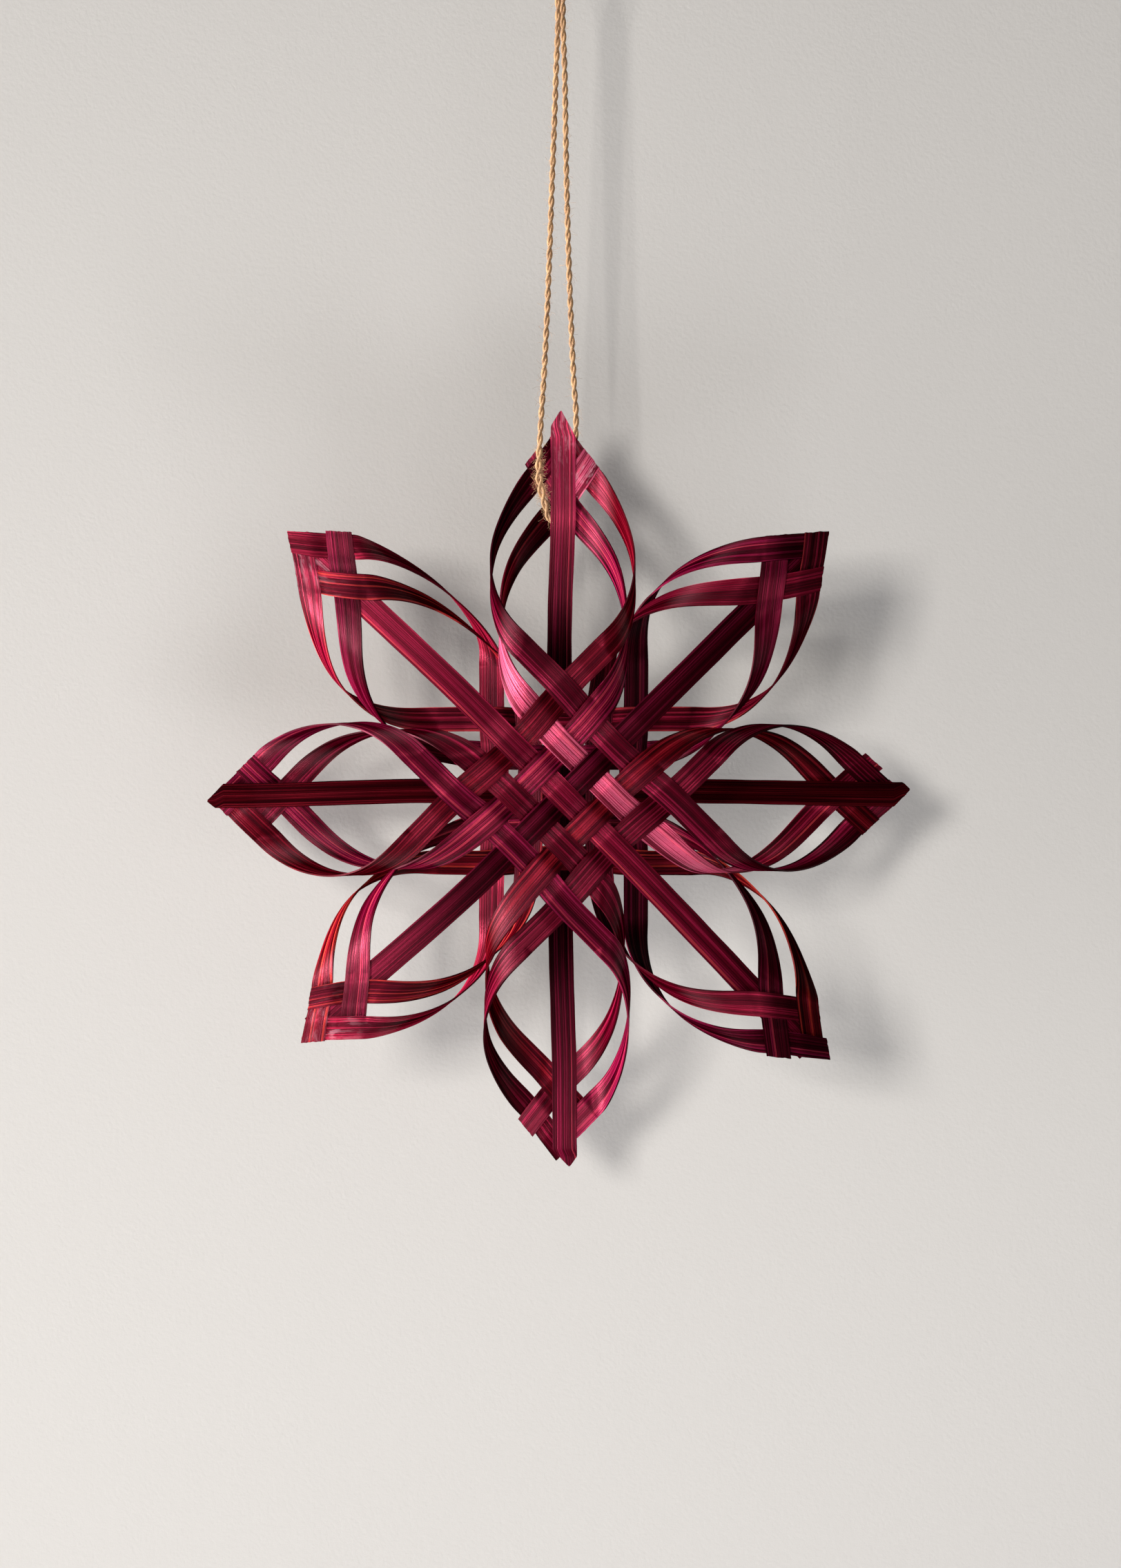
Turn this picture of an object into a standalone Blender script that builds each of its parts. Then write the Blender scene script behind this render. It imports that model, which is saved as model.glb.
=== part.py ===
"""Eight-pointed star plaited from twenty flat bamboo strips, hung on a loop of jute twine.

Two plain-woven mats of five by five strips lie one behind the other. The middle strip of
each direction runs straight from tip to tip. The others leave the corners of their mat,
bulge to the side of a petal and come back to its axis in the plane of the other mat, where
four of them are woven into a tip. The upright and level petals grow from the front mat and
close at the back, and the four slanting petals grow from the back mat and close in front.

X is to the right, Y away from the viewer, Z up, in metres. The origin is the inside top of
the twine loop, where the star hangs from a hook.
"""

from collections import namedtuple
from math import ceil, cos, hypot, pi, radians, sin, sqrt, tanh

import bmesh
import bpy
from mathutils import Vector
from mathutils.geometry import interpolate_bezier

# Strips and how they are woven
STRIP_WIDTH = 0.0073
STRIP_THICKNESS = 0.0005
STRIPS_EACH_WAY = 5
WEAVE_PITCH = 0.0100
WEAVE_RISE = 0.00058
WEAVE_SQUARENESS = 2.0
SETTLE_START = 0.0008
SETTLE_LENGTH = 0.0080

# Mats, loops and tips
CORNER_SLACK = 0.0020
SLACK_START = 0.0170
SLACK_LENGTH = 0.0130
MAT_SPACING = 0.0420
TIP_BEHIND_MAT = 0.00156
TIP_RISE = 0.00066
TIP_PITCH = 0.0112
NARROWING_START = 0.0420
NARROWING_LENGTH = 0.0350
POINT_WIDTH = 0.0004
END_OVERHANG = 0.0002
BOW_RISE = 0.0100
BOW_PEAK = 0.0420
BOW_FALL = 0.0450
TWINE_PASS = 0.0790
TWINE_PASS_REACH = 0.0230
TWINE_PASS_LIFT = 0.0020
STRIP_ROUGHNESS = 0.42

# By place in the petal: how far beside the axis a strip leaves its mat, how far behind the
# middle plane it is widest, how far out that is as a share of the way between its
# crossings, and where beside the axis it lies flat again
Place = namedtuple("Place", "name bend belly_depth belly_share landing")
OUTER = Place("outer", 0.0114, -0.0027, 0.478, 0.0105)
INNER = Place("inner", 0.0101, -0.0087, 0.388, 0.0042)

# Petals: heading in degrees from the right, reach of the tip, bulge of the outer and the
# inner strip on the left and on the right side seen facing outwards, lean of the tip to
# the right, how much further the middle strip swings to the right, share by which the tip
# is narrowed on the left and on the right, and how far its weave is stretched. A middle
# strip that ends in a point reaches past the weave, and has a cut of its own length on the
# left and on the right and an apex to the left of its middle
Point = namedtuple("Point", "past_weave left_cut right_cut apex")
Petal = namedtuple(
    "Petal",
    "heading reach left inner_left right inner_right lean swing narrow_left narrow_right stretch point")
PETALS = (
    Petal(90, 0.1127, 0.0209, 0.0183, 0.0205, 0.0180, -0.0004, 0.0002, 0.26, 0.22, 0.0046,
          Point(0.0028, 0.0045, 0.0077, -0.0007)),
    Petal(45, 0.1052, 0.0228, 0.0220, 0.0210, 0.0189, -0.0001, 0.0004, 0.12, 0.26, 0.0038, None),
    Petal(0, 0.1029, 0.0203, 0.0190, 0.0217, 0.0220, 0.0010, 0.0000, 0.16, 0.08, 0.0,
          Point(0.0010, 0.0021, 0.0048, -0.0015)),
    Petal(315, 0.1050, 0.0196, 0.0178, 0.0221, 0.0208, 0.0000, 0.0018, 0.30, 0.19, 0.0016, None),
    Petal(270, 0.1122, 0.0196, 0.0172, 0.0220, 0.0219, 0.0024, -0.0028, 0.03, 0.21, 0.0014,
          Point(0.0017, 0.0031, 0.0051, -0.0012)),
    Petal(225, 0.1016, 0.0214, 0.0195, 0.0211, 0.0188, 0.0034, 0.0004, 0.16, 0.34, 0.0, None),
    Petal(180, 0.1060, 0.0225, 0.0208, 0.0213, 0.0189, -0.0024, 0.0010, 0.02, 0.02, 0.0,
          Point(0.0007, 0.0023, 0.0048, -0.0016)),
    Petal(135, 0.1076, 0.0230, 0.0227, 0.0183, 0.0152, -0.0022, 0.0006, 0.33, 0.10, 0.0026, None),
)

# Strips whose ends reach past the strip that they cross last, by petal heading, family
# side and place
LONG_ENDS = {
    (90, 1, "inner"): 0.0016,
    (0, 1, "inner"): 0.0016,
    (270, -1, "inner"): 0.0014,
    (315, 1, "outer"): 0.0012,
    (315, -1, "inner"): 0.0010,
    (135, -1, "inner"): 0.0008,
}

# Directions of the strips: heading of the far end, which mat, and whether the first strip
# from the left lies in front at the middle of its length
Direction = namedtuple("Direction", "name heading mat odd_in_front bow colour")
DIRECTIONS = (
    Direction("front_rising_strip", 45, -1, False, 0.0, (0.110, 0.006, 0.026)),
    Direction("front_falling_strip", 135, -1, True, 0.0, (0.125, 0.007, 0.030)),
    Direction("back_upright_strip", 90, 1, False, -0.0013, (0.095, 0.005, 0.022)),
    Direction("back_level_strip", 0, 1, True, 0.0, (0.085, 0.004, 0.018)),
)

# Twine
TWINE_DIAMETER = 0.0015
TWINE_POINT_SPACING = 0.0066
TWINE_COLOUR = (0.42, 0.27, 0.12)
TWINE_ROUGHNESS = 0.9

# Fineness of the faceted solids
LOOP_STEPS = 16
LOOP_MEASURE_STEPS = 96
STRAIGHT_STEPS = 8

HALF_WIDTH = STRIP_WIDTH / 2
MAT_DEPTH = MAT_SPACING / 2
LAST_CROSSING = (STRIPS_EACH_WAY - 1) / 2 * WEAVE_PITCH
MAT_CORNER = LAST_CROSSING * sqrt(2)
LOOP_TOP = Vector((-0.0010, 0.0222, 0.2505))
STAR_CENTRE = -LOOP_TOP

# Route of the twine from the middle of the star: from behind the upper tip, under the
# crossing of its inner strips to the front, out from behind the middle strip, up its left
# side to the loop, and down behind the tip
TWINE_ROUTE = (
    (0.0012, 0.0264, 0.0856),
    (0.0011, 0.0264, 0.0815),
    (0.0009, 0.0254, 0.0783),
    (0.0005, 0.0235, 0.0770),
    (-0.0004, 0.0216, 0.0773),
    (-0.0020, 0.0207, 0.0785),
    (-0.0042, 0.0205, 0.0806),
    (-0.0054, 0.0201, 0.0843),
    (-0.0063, 0.0199, 0.0875),
    (-0.0071, 0.0199, 0.0912),
    (-0.0074, 0.0200, 0.0960),
    (-0.0071, 0.0202, 0.1035),
    (-0.0067, 0.0205, 0.1110),
    (-0.0060, 0.0209, 0.1210),
    (-0.0046, 0.0214, 0.1500),
    (-0.0035, 0.0218, 0.1800),
    (-0.0024, 0.0221, 0.2100),
    (-0.0019, 0.0222, 0.2360),
    (-0.0026, 0.0222, 0.2410),
    (-0.0042, 0.0222, 0.2457),
    (-0.0036, 0.0222, 0.2496),
    (-0.0010, 0.0222, 0.2512),
    (0.0016, 0.0222, 0.2496),
    (0.0022, 0.0222, 0.2457),
    (0.0006, 0.0222, 0.2410),
    (-0.0001, 0.0222, 0.2360),
    (0.0003, 0.0224, 0.2100),
    (0.0008, 0.0228, 0.1800),
    (0.0017, 0.0234, 0.1500),
    (0.0030, 0.0242, 0.1210),
    (0.0036, 0.0247, 0.1120),
    (0.0034, 0.0250, 0.1040),
    (0.0026, 0.0252, 0.0960),
    (0.0018, 0.0256, 0.0900),
    (0.0014, 0.0260, 0.0866),
)


def clear_scene():
    """Remove every object of the file that the script is run in."""
    for thing in list(bpy.data.objects):
        bpy.data.objects.remove(thing, do_unlink=True)


def make_collection(name):
    """A new collection linked to the scene."""
    collection = bpy.data.collections.new(name)
    bpy.context.scene.collection.children.link(collection)
    return collection


def make_material(name, colour, roughness):
    """A plain Principled material."""
    material = bpy.data.materials.new(name)
    material.use_nodes = True
    shader = material.node_tree.nodes["Principled BSDF"]
    shader.inputs["Base Color"].default_value = (*colour, 1.0)
    shader.inputs["Roughness"].default_value = roughness
    shader.inputs["Metallic"].default_value = 0.0
    return material


def smooth(value):
    """Smooth step from 0 to 1."""
    value = min(max(value, 0.0), 1.0)
    return value * value * (3.0 - 2.0 * value)


def weave_wave(distance, pitch):
    """Rise and fall of a woven strip, 1 at a crossing and -1 at the next, with flat tops."""
    return tanh(WEAVE_SQUARENESS * cos(pi * distance / pitch)) / tanh(WEAVE_SQUARENESS)


def settle(distance):
    """1 at the last crossing and down to 0 where the strip lies in its plane again."""
    return 1.0 - smooth((distance - SETTLE_START) / SETTLE_LENGTH)


def petal_towards(heading):
    """The petal that points in a direction."""
    return next(petal for petal in PETALS if petal.heading == heading % 360)


def in_star(petal, sideways, outwards, depth):
    """A point given along and across a petal's axis, at its place in the part."""
    lean = petal.lean * smooth((outwards - MAT_CORNER) / (petal.reach - MAT_CORNER))
    angle = radians(petal.heading)
    across = sideways + lean
    along = outwards + CORNER_SLACK * smooth((outwards - SLACK_START) / SLACK_LENGTH)
    x = along * cos(angle) + across * sin(angle)
    z = along * sin(angle) - across * cos(angle)
    return STAR_CENTRE + Vector((x, depth, z))


def drawn_in(petal, sideways, outwards):
    """A point of the weave with the petal narrowed and stretched towards its tip."""
    share = smooth((outwards + petal.stretch - petal.reach + NARROWING_START) / NARROWING_LENGTH)
    narrowing = petal.narrow_right if sideways > 0 else petal.narrow_left
    return sideways * (1.0 - narrowing * share), outwards + petal.stretch * share


def tip_crossings(petal):
    """How far out the outer and the inner strips cross on the axis of a petal."""
    past_weave = petal.point.past_weave if petal.point else 0.0
    outer = petal.reach - CORNER_SLACK - petal.stretch - past_weave - HALF_WIDTH * sqrt(2)
    return outer, outer - TIP_PITCH * sqrt(2)


def loop_section(start, belly, landing, start_depth, belly_depth, end_depth):
    """Side of a petal seen along its axis: two quarter ellipses that meet at the belly.

    Each entry is the place beside the axis, the depth and the direction of travel."""
    outline = []
    half = LOOP_MEASURE_STEPS // 2
    for step in range(LOOP_MEASURE_STEPS + 1):
        turn = pi / 2 * step / half
        flat = start if step <= half else landing
        rise = belly_depth - start_depth if step <= half else end_depth - belly_depth
        width = belly - flat
        travel = Vector((width * cos(turn), rise * sin(turn))).normalized()
        outline.append((flat + width * sin(turn), belly_depth - rise * cos(turn), travel))
    return outline


def loop_stations(start, belly, end, outline):
    """Centre and cross direction of a strip that winds round the side of a petal.

    It leaves and lands at 45 degrees to the axis and runs a little steeper between, so that
    each of its quarters comes as far out as it should."""
    half = LOOP_MEASURE_STEPS // 2
    lengths = [0.0]
    for before, after in zip(outline, outline[1:]):
        lengths.append(lengths[-1] + hypot(after[0] - before[0], after[1] - before[1]))
    quarters = (lengths[half], lengths[-1] - lengths[half])
    means = ((belly - start) / quarters[0], (end - belly) / quarters[1])
    belly_slope = (means[0] + means[1]) / 2
    stations = []
    for step, (sideways, depth, travel) in enumerate(outline):
        quarter = 0 if step <= half else 1
        length = quarters[quarter]
        share = (lengths[step] - quarter * quarters[0]) / length
        first, last = ((1.0, belly_slope), (belly_slope, 1.0))[quarter]
        bulge = means[quarter] - (first + last) / 2
        slope = first + (last - first) * share + 6 * bulge * share * (1 - share)
        outwards = (start, belly)[quarter] + length * (
            first * share + (last - first) * share ** 2 / 2 + bulge * share ** 2 * (3 - 2 * share))
        scale = 1 / hypot(1, slope)
        across = Vector((-slope * scale * travel.x, scale, -slope * scale * travel.y))
        stations.append((Vector((sideways, outwards, depth)), across))
    return stations


def looped_half(petal, side, place, mat, middle_in_front):
    """Edges of a looped strip from its middle to its end, as pairs of points.

    Worked out for a strip on the right side of its petal, with depth growing away from
    its own mat, and mirrored for one on the left."""
    rank = 1 if place is INNER else 0
    slant = 1 / sqrt(2)
    tip_depth = MAT_DEPTH + TIP_BEHIND_MAT
    bulges = ((petal.left, petal.inner_left), (petal.right, petal.inner_right))
    belly = bulges[1 if side > 0 else 0][rank]
    step_in = rank * WEAVE_PITCH * slant
    last_crossing = Vector((step_in, MAT_CORNER - step_in, -MAT_DEPTH))
    out = Vector((slant, slant, 0.0))
    home = Vector((-slant, slant, 0.0))
    edges = []

    def add(centre, across, lift):
        """Add the two edge points of a station, lifted towards the viewer by the weave."""
        pair = []
        for half_width in (-HALF_WIDTH, HALF_WIDTH):
            point = centre + across * half_width
            depth = -mat * point.z - lift
            pair.append(in_star(petal, *drawn_in(petal, point.x * side, point.y), depth))
        edges.append(pair)

    for distance in woven_distances():
        wave = middle_in_front * weave_wave(distance, WEAVE_PITCH)
        add(last_crossing + out * (distance - LAST_CROSSING), home, wave * WEAVE_RISE)

    bend = last_crossing + out * ((place.bend - last_crossing.x) / slant)
    landing = Vector((place.landing, tip_crossings(petal)[rank] - place.landing, tip_depth))
    first_tip_crossing = landing.x / slant - (1 - rank) * TIP_PITCH
    tip_in_front = side * (1 if rank else -1)
    outline = loop_section(bend.x, belly, landing.x, -MAT_DEPTH, place.belly_depth, tip_depth)
    belly_out = last_crossing.y + place.belly_share * (tip_crossings(petal)[rank] - last_crossing.y)
    stations = loop_stations(bend.y, belly_out, landing.y, outline)
    for centre, across in stations[::LOOP_MEASURE_STEPS // LOOP_STEPS]:
        past = (centre - last_crossing).length
        before = (centre - landing).length + first_tip_crossing
        lift = middle_in_front * settle(past) * WEAVE_RISE + tip_in_front * settle(before) * TIP_RISE
        add(centre, across, lift)

    end = TIP_PITCH + HALF_WIDTH + LONG_ENDS.get((petal.heading, side, place.name), END_OVERHANG)
    for distance in (-HALF_WIDTH, 0.0, HALF_WIDTH, TIP_PITCH - HALF_WIDTH, TIP_PITCH, end):
        wave = tip_in_front * weave_wave(min(distance, TIP_PITCH + HALF_WIDTH), TIP_PITCH)
        add(landing + home * (first_tip_crossing + distance), out, wave * TIP_RISE)
    return edges


def woven_distances():
    """Distances from a strip's middle to the middle and both sides of each crossing."""
    for number in range(STRIPS_EACH_WAY // 2 + 1):
        for offset in (-HALF_WIDTH, 0.0, HALF_WIDTH):
            if number * WEAVE_PITCH + offset >= 0:
                yield number * WEAVE_PITCH + offset


def middle_half(petal, mat, middle_in_front, bow):
    """Edges of a straight middle strip from its middle to its tip, as pairs of points."""
    mat_end = LAST_CROSSING + HALF_WIDTH
    if petal.point:
        tip = petal.reach - CORNER_SLACK
        cuts = (petal.point.left_cut, petal.point.right_cut)
    else:
        tip = tip_crossings(petal)[0] + petal.stretch
        cuts = (0.0, 0.0)
    end = tip - max(cuts)
    distances = list(woven_distances())
    for step in range(1, STRAIGHT_STEPS + 1):
        distances.append(mat_end + (end - mat_end) * step / STRAIGHT_STEPS)
    if petal.point:
        distances += [tip - min(cuts), tip]
    edges = []
    for distance in distances:
        if distance <= mat_end:
            wave = middle_in_front * weave_wave(distance, WEAVE_PITCH)
        else:
            wave = middle_in_front * settle(distance - LAST_CROSSING)
        shift = bow * smooth((distance - mat_end) / BOW_RISE) * (1.0 - smooth((distance - BOW_PEAK) / BOW_FALL))
        shift += petal.swing * (distance - mat_end) / (tip - mat_end) if distance > mat_end else 0.0
        depth = mat * MAT_DEPTH - wave * WEAVE_RISE
        if petal.heading == 90:
            depth -= TWINE_PASS_LIFT * smooth(1.0 - abs(distance - TWINE_PASS) / TWINE_PASS_REACH)
        pair = []
        for way, cut in zip((-1, 1), cuts):
            edge = way * HALF_WIDTH
            if cut and distance > tip - cut:
                apex = petal.point.apex + way * POINT_WIDTH / 2
                edge = apex + (edge - apex) * (tip - distance) / cut
            pair.append(in_star(petal, shift + edge, distance, depth))
        edges.append(pair)
    return edges


def strip_edges(direction, number):
    """Edges of a whole strip, from its near end through the mat to its far end.

    Strips are counted from the left, facing the heading of their direction. Two strips on
    each side of the middle one turn to the petal beside it."""
    odd = number % 2 == 0
    middle_in_front = 1 if odd == direction.odd_in_front else -1
    halves = []
    for facing in (1, -1):
        heading = direction.heading + (0 if facing > 0 else 180)
        from_left = number if facing > 0 else STRIPS_EACH_WAY - 1 - number
        places = (OUTER, INNER, None, INNER, OUTER)
        place = places[from_left]
        if place is None:
            petal = petal_towards(heading)
            halves.append(middle_half(petal, direction.mat, middle_in_front, direction.bow * facing))
        else:
            side = 1 if from_left < STRIPS_EACH_WAY // 2 else -1
            petal = petal_towards(heading + 45 * side)
            halves.append(looped_half(petal, side, place, direction.mat, middle_in_front))
    far, near = halves
    if (far[0][1] - far[0][0]).dot(near[0][1] - near[0][0]) < 0:
        near = [pair[::-1] for pair in near]
    return near[:0:-1] + far


def make_strip(name, edges, material, collection):
    """A bamboo strip: a grid one face wide, laid along its two edges and thickened."""
    grid = bmesh.new()
    bmesh.ops.create_grid(grid, x_segments=len(edges) - 1, y_segments=1, size=0.5)
    for vertex in grid.verts:
        station = round((vertex.co.x + 0.5) * (len(edges) - 1))
        vertex.co = edges[station][1 if vertex.co.y > 0 else 0]
    mesh = bpy.data.meshes.new(name)
    grid.to_mesh(mesh)
    grid.free()
    strip = bpy.data.objects.new(name, mesh)
    collection.objects.link(strip)
    mesh.materials.append(material)
    thickness = strip.modifiers.new("Thickness", "SOLIDIFY")
    thickness.thickness = STRIP_THICKNESS
    thickness.offset = 0.0
    thickness.use_even_offset = True
    return strip


def smooth_route(route, spacing):
    """Points along one smooth curve through a route's points, about a spacing apart."""
    knots = [STAR_CENTRE + Vector(point) for point in route]
    directions = []
    for number, knot in enumerate(knots):
        before = knots[max(number - 1, 0)]
        after = knots[min(number + 1, len(knots) - 1)]
        directions.append(((knot - before).normalized() + (after - knot).normalized()).normalized())
    points = [knots[0]]
    for number in range(len(knots) - 1):
        start, end = knots[number], knots[number + 1]
        reach = (end - start).length / 3
        count = ceil((end - start).length / spacing) + 1
        first_handle = start + directions[number] * reach
        last_handle = end - directions[number + 1] * reach
        points += interpolate_bezier(start, first_handle, last_handle, end, count)[1:]
    return points


def make_twine(name, material, collection):
    """The hanging loop as a round tube whose two ends meet behind the upper tip."""
    curve = bpy.data.curves.new(name, "CURVE")
    curve.dimensions = "3D"
    curve.bevel_depth = TWINE_DIAMETER / 2
    curve.bevel_resolution = 2
    curve.use_fill_caps = True
    points = smooth_route(TWINE_ROUTE, TWINE_POINT_SPACING)
    spline = curve.splines.new("POLY")
    spline.points.add(len(points) - 1)
    for spline_point, point in zip(spline.points, points):
        spline_point.co = (*point, 1.0)
    curve.materials.append(material)
    twine = bpy.data.objects.new(name, curve)
    collection.objects.link(twine)
    return twine


def main():
    """Build the twenty strips and the twine."""
    clear_scene()
    collection = make_collection("bamboo_star_ornament")
    for direction in DIRECTIONS:
        for number in range(STRIPS_EACH_WAY):
            name = f"{direction.name}_{number + 1}"
            material = make_material(name, direction.colour, STRIP_ROUGHNESS)
            make_strip(name, strip_edges(direction, number), material, collection)
    make_twine("hanging_twine", make_material("jute", TWINE_COLOUR, TWINE_ROUGHNESS), collection)


main()
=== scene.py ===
"""Looks of the bamboo star: ribbed dyed strips, hairy jute twine, wall, light and camera.

Laid out as an add-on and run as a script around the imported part. Lengths are in metres,
X to the right, Y away from the viewer, Z up, and the origin is the top of the twine loop.
"""

from collections import namedtuple
from math import ceil, cos, hypot, pi, radians, sin, sqrt, tanh

import bmesh
import bpy
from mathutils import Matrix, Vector, noise
from mathutils.geometry import interpolate_bezier


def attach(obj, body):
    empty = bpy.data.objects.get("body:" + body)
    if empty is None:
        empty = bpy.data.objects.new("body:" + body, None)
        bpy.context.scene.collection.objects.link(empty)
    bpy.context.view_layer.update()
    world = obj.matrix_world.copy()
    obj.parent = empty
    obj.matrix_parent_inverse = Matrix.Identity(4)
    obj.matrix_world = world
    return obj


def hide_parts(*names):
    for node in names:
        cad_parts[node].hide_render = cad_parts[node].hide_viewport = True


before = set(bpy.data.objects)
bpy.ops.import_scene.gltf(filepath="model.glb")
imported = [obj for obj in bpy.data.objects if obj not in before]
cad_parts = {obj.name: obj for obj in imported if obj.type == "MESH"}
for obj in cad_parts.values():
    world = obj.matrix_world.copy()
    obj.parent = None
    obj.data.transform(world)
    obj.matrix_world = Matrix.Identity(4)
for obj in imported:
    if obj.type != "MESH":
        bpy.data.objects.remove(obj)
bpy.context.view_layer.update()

bl_info = {
    "name": "Bamboo star ornament",
    "version": (1, 0, 0),
    "blender": (4, 5, 0),
    "location": "3D View > Sidebar > Bamboo star",
    "description": "Dyed bamboo strips, jute twine, wall, light and camera of a plaited star",
    "category": "Object",
}

# Weave, mats and tips, as the solids have them
STRIPS_EACH_WAY = 5
WEAVE_PITCH = 0.0100
WEAVE_RISE = 0.00058
WEAVE_SQUARENESS = 2.0
SETTLE_START = 0.0008
SETTLE_LENGTH = 0.0080
CORNER_SLACK = 0.0020
SLACK_START = 0.0170
SLACK_LENGTH = 0.0130
MAT_SPACING = 0.0420
TIP_BEHIND_MAT = 0.00156
TIP_RISE = 0.00066
TIP_PITCH = 0.0112
NARROWING_START = 0.0420
NARROWING_LENGTH = 0.0350
POINT_WIDTH = 0.0004
END_OVERHANG = 0.0002
BOW_RISE = 0.0100
BOW_PEAK = 0.0420
BOW_FALL = 0.0450
TWINE_PASS = 0.0790
TWINE_PASS_REACH = 0.0230
TWINE_PASS_LIFT = 0.0020
STRIP_WIDTH = 0.0073
HALF_WIDTH = STRIP_WIDTH / 2
MAT_DEPTH = MAT_SPACING / 2
LAST_CROSSING = (STRIPS_EACH_WAY - 1) / 2 * WEAVE_PITCH
MAT_CORNER = LAST_CROSSING * sqrt(2)
STAR_CENTRE = Vector((0.0010, -0.0222, -0.2505))

# Degrees from petal to petal, and the heading of the petal that the twine goes round
PETAL_TURN = 45
TWINE_HEADING = 90

# Fineness of the ribbons: steps along the woven parts, along a loop and across
FINE_STEP = 0.0006
LOOP_STEPS = 96
ACROSS_STEPS = 18

# Length that one unit of the UV maps stands for, the room of each strip on its map, and
# millimetres in a metre
UV_LENGTH = 0.300
UV_ROW = 0.015
MILLIMETRES = 1000

# Unevenness of the strips' long edges, and of their cut ends: how far, waves to a metre or to
# a strip's width, and how much it differs between strips, edges and ends. A cut end is also
# set back a little, and an edge is sharp from the last angle on
EDGE_UNEVENNESS = 0.00012
EDGE_WAVES = 90
EDGE_VARIETY = 3.1
LEFT_EDGE_LAYER = 8.0
RIGHT_EDGE_LAYER = 2.0
END_RAGGEDNESS = 0.00022
END_WAVES = 7
END_VARIETY = 5.7
END_LAYERS = 40
END_SETBACK = 0.0001
SHARP_ANGLE = radians(50)

# By place in the petal: how far beside the axis a strip leaves its mat, how far behind the
# middle plane it is widest, how far out that is, and where it lies flat again
Place = namedtuple("Place", "name bend belly_depth belly_share landing")
OUTER = Place("outer", 0.0114, -0.0027, 0.478, 0.0105)
INNER = Place("inner", 0.0101, -0.0087, 0.388, 0.0042)

# Petals: heading in degrees from the right, reach of the tip, bulge of the outer and the inner
# strip on the left and on the right, lean of the tip, how much further the middle strip
# swings, share by which the tip is narrowed on the left and on the right, and how far its
# weave is stretched. A pointed middle strip reaches past the weave, is cut at a slant on the
# left and on the right, and has its apex beside its middle
Point = namedtuple("Point", "past_weave left_cut right_cut apex")
Petal = namedtuple(
    "Petal",
    "heading reach left inner_left right inner_right lean swing narrow_left narrow_right stretch point")
PETALS = (
    Petal(90, 0.1127, 0.0209, 0.0183, 0.0205, 0.0180, -0.0004, 0.0002, 0.26, 0.22, 0.0046,
          Point(0.0028, 0.0045, 0.0077, -0.0007)),
    Petal(45, 0.1052, 0.0228, 0.0220, 0.0210, 0.0189, -0.0001, 0.0004, 0.12, 0.26, 0.0038, None),
    Petal(0, 0.1029, 0.0203, 0.0190, 0.0217, 0.0220, 0.0010, 0.0000, 0.16, 0.08, 0.0,
          Point(0.0010, 0.0021, 0.0048, -0.0015)),
    Petal(315, 0.1050, 0.0196, 0.0178, 0.0221, 0.0208, 0.0000, 0.0018, 0.30, 0.19, 0.0016, None),
    Petal(270, 0.1122, 0.0196, 0.0172, 0.0220, 0.0219, 0.0024, -0.0028, 0.03, 0.21, 0.0014,
          Point(0.0017, 0.0031, 0.0051, -0.0012)),
    Petal(225, 0.1016, 0.0214, 0.0195, 0.0211, 0.0188, 0.0034, 0.0004, 0.16, 0.34, 0.0, None),
    Petal(180, 0.1060, 0.0225, 0.0208, 0.0213, 0.0189, -0.0024, 0.0010, 0.02, 0.02, 0.0,
          Point(0.0007, 0.0023, 0.0048, -0.0016)),
    Petal(135, 0.1076, 0.0230, 0.0227, 0.0183, 0.0152, -0.0022, 0.0006, 0.33, 0.10, 0.0026, None),
)

# Ends that stand out further than the others, by heading, side and place in the petal
LONG_ENDS = {
    (90, 1, "inner"): 0.0016,
    (0, 1, "inner"): 0.0016,
    (270, -1, "inner"): 0.0014,
    (315, 1, "outer"): 0.0012,
    (315, -1, "inner"): 0.0010,
    (135, -1, "inner"): 0.0008,
}

Direction = namedtuple("Direction", "name heading mat odd_in_front bow")
FRONT_DIRECTIONS = (
    Direction("front_rising_strip", 45, -1, False, 0.0),
    Direction("front_falling_strip", 135, -1, True, 0.0),
)
BACK_DIRECTIONS = (
    Direction("back_upright_strip", 90, 1, False, -0.0013),
    Direction("back_level_strip", 0, 1, True, 0.0),
)

# How light each strip is, partly its dye and partly painted light and shade: on its near end,
# near it, in the middle, near its far end and on that end. Near is the lower end, or the left
# end of a level strip
STRIP_DYE_AND_PAINTED_LIGHT = {
    "front_rising_strip": (
        (0.8, 0.8, 0.9, 1.6, 1.5),
        (0.8, 0.8, 1.1, 1.1, 1.1),
        (1.2, 1.2, 0.42, 0.30, 0.3),
        (1.0, 1.0, 1.0, 0.6, 0.5),
        (0.7, 0.7, 0.8, 0.5, 0.4),
    ),
    "front_falling_strip": (
        (1.4, 1.4, 0.9, 1.0, 1.0),
        (1.3, 1.3, 1.1, 0.9, 0.9),
        (0.55, 0.55, 1.1, 2.0, 2.0),
        # The fourth falling strip's middle is a painted highlight on the mat
        (1.0, 0.9, 3.3, 0.35, 3.0),
        (0.8, 0.8, 1.0, 0.35, 1.0),
    ),
    "back_upright_strip": (
        (1.8, 1.7, 1.3, 1.2, 1.3),
        (1.4, 1.2, 1.3, 1.2, 1.5),
        # The third upright strip's middle is painted shade under the front mat
        (1.1, 0.95, 0.10, 1.6, 1.7),
        (0.5, 1.1, 0.5, 0.9, 0.6),
        (0.25, 0.5, 0.3, 0.8, 0.35),
    ),
    "back_level_strip": (
        (2.2, 1.5, 0.8, 0.5, 0.3),
        (1.0, 0.8, 0.7, 0.8, 0.7),
        (0.35, 0.45, 0.3, 0.28, 0.25),
        (1.3, 1.5, 0.7, 0.45, 0.35),
        (1.6, 1.3, 0.7, 0.38, 0.3),
    ),
}

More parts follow.
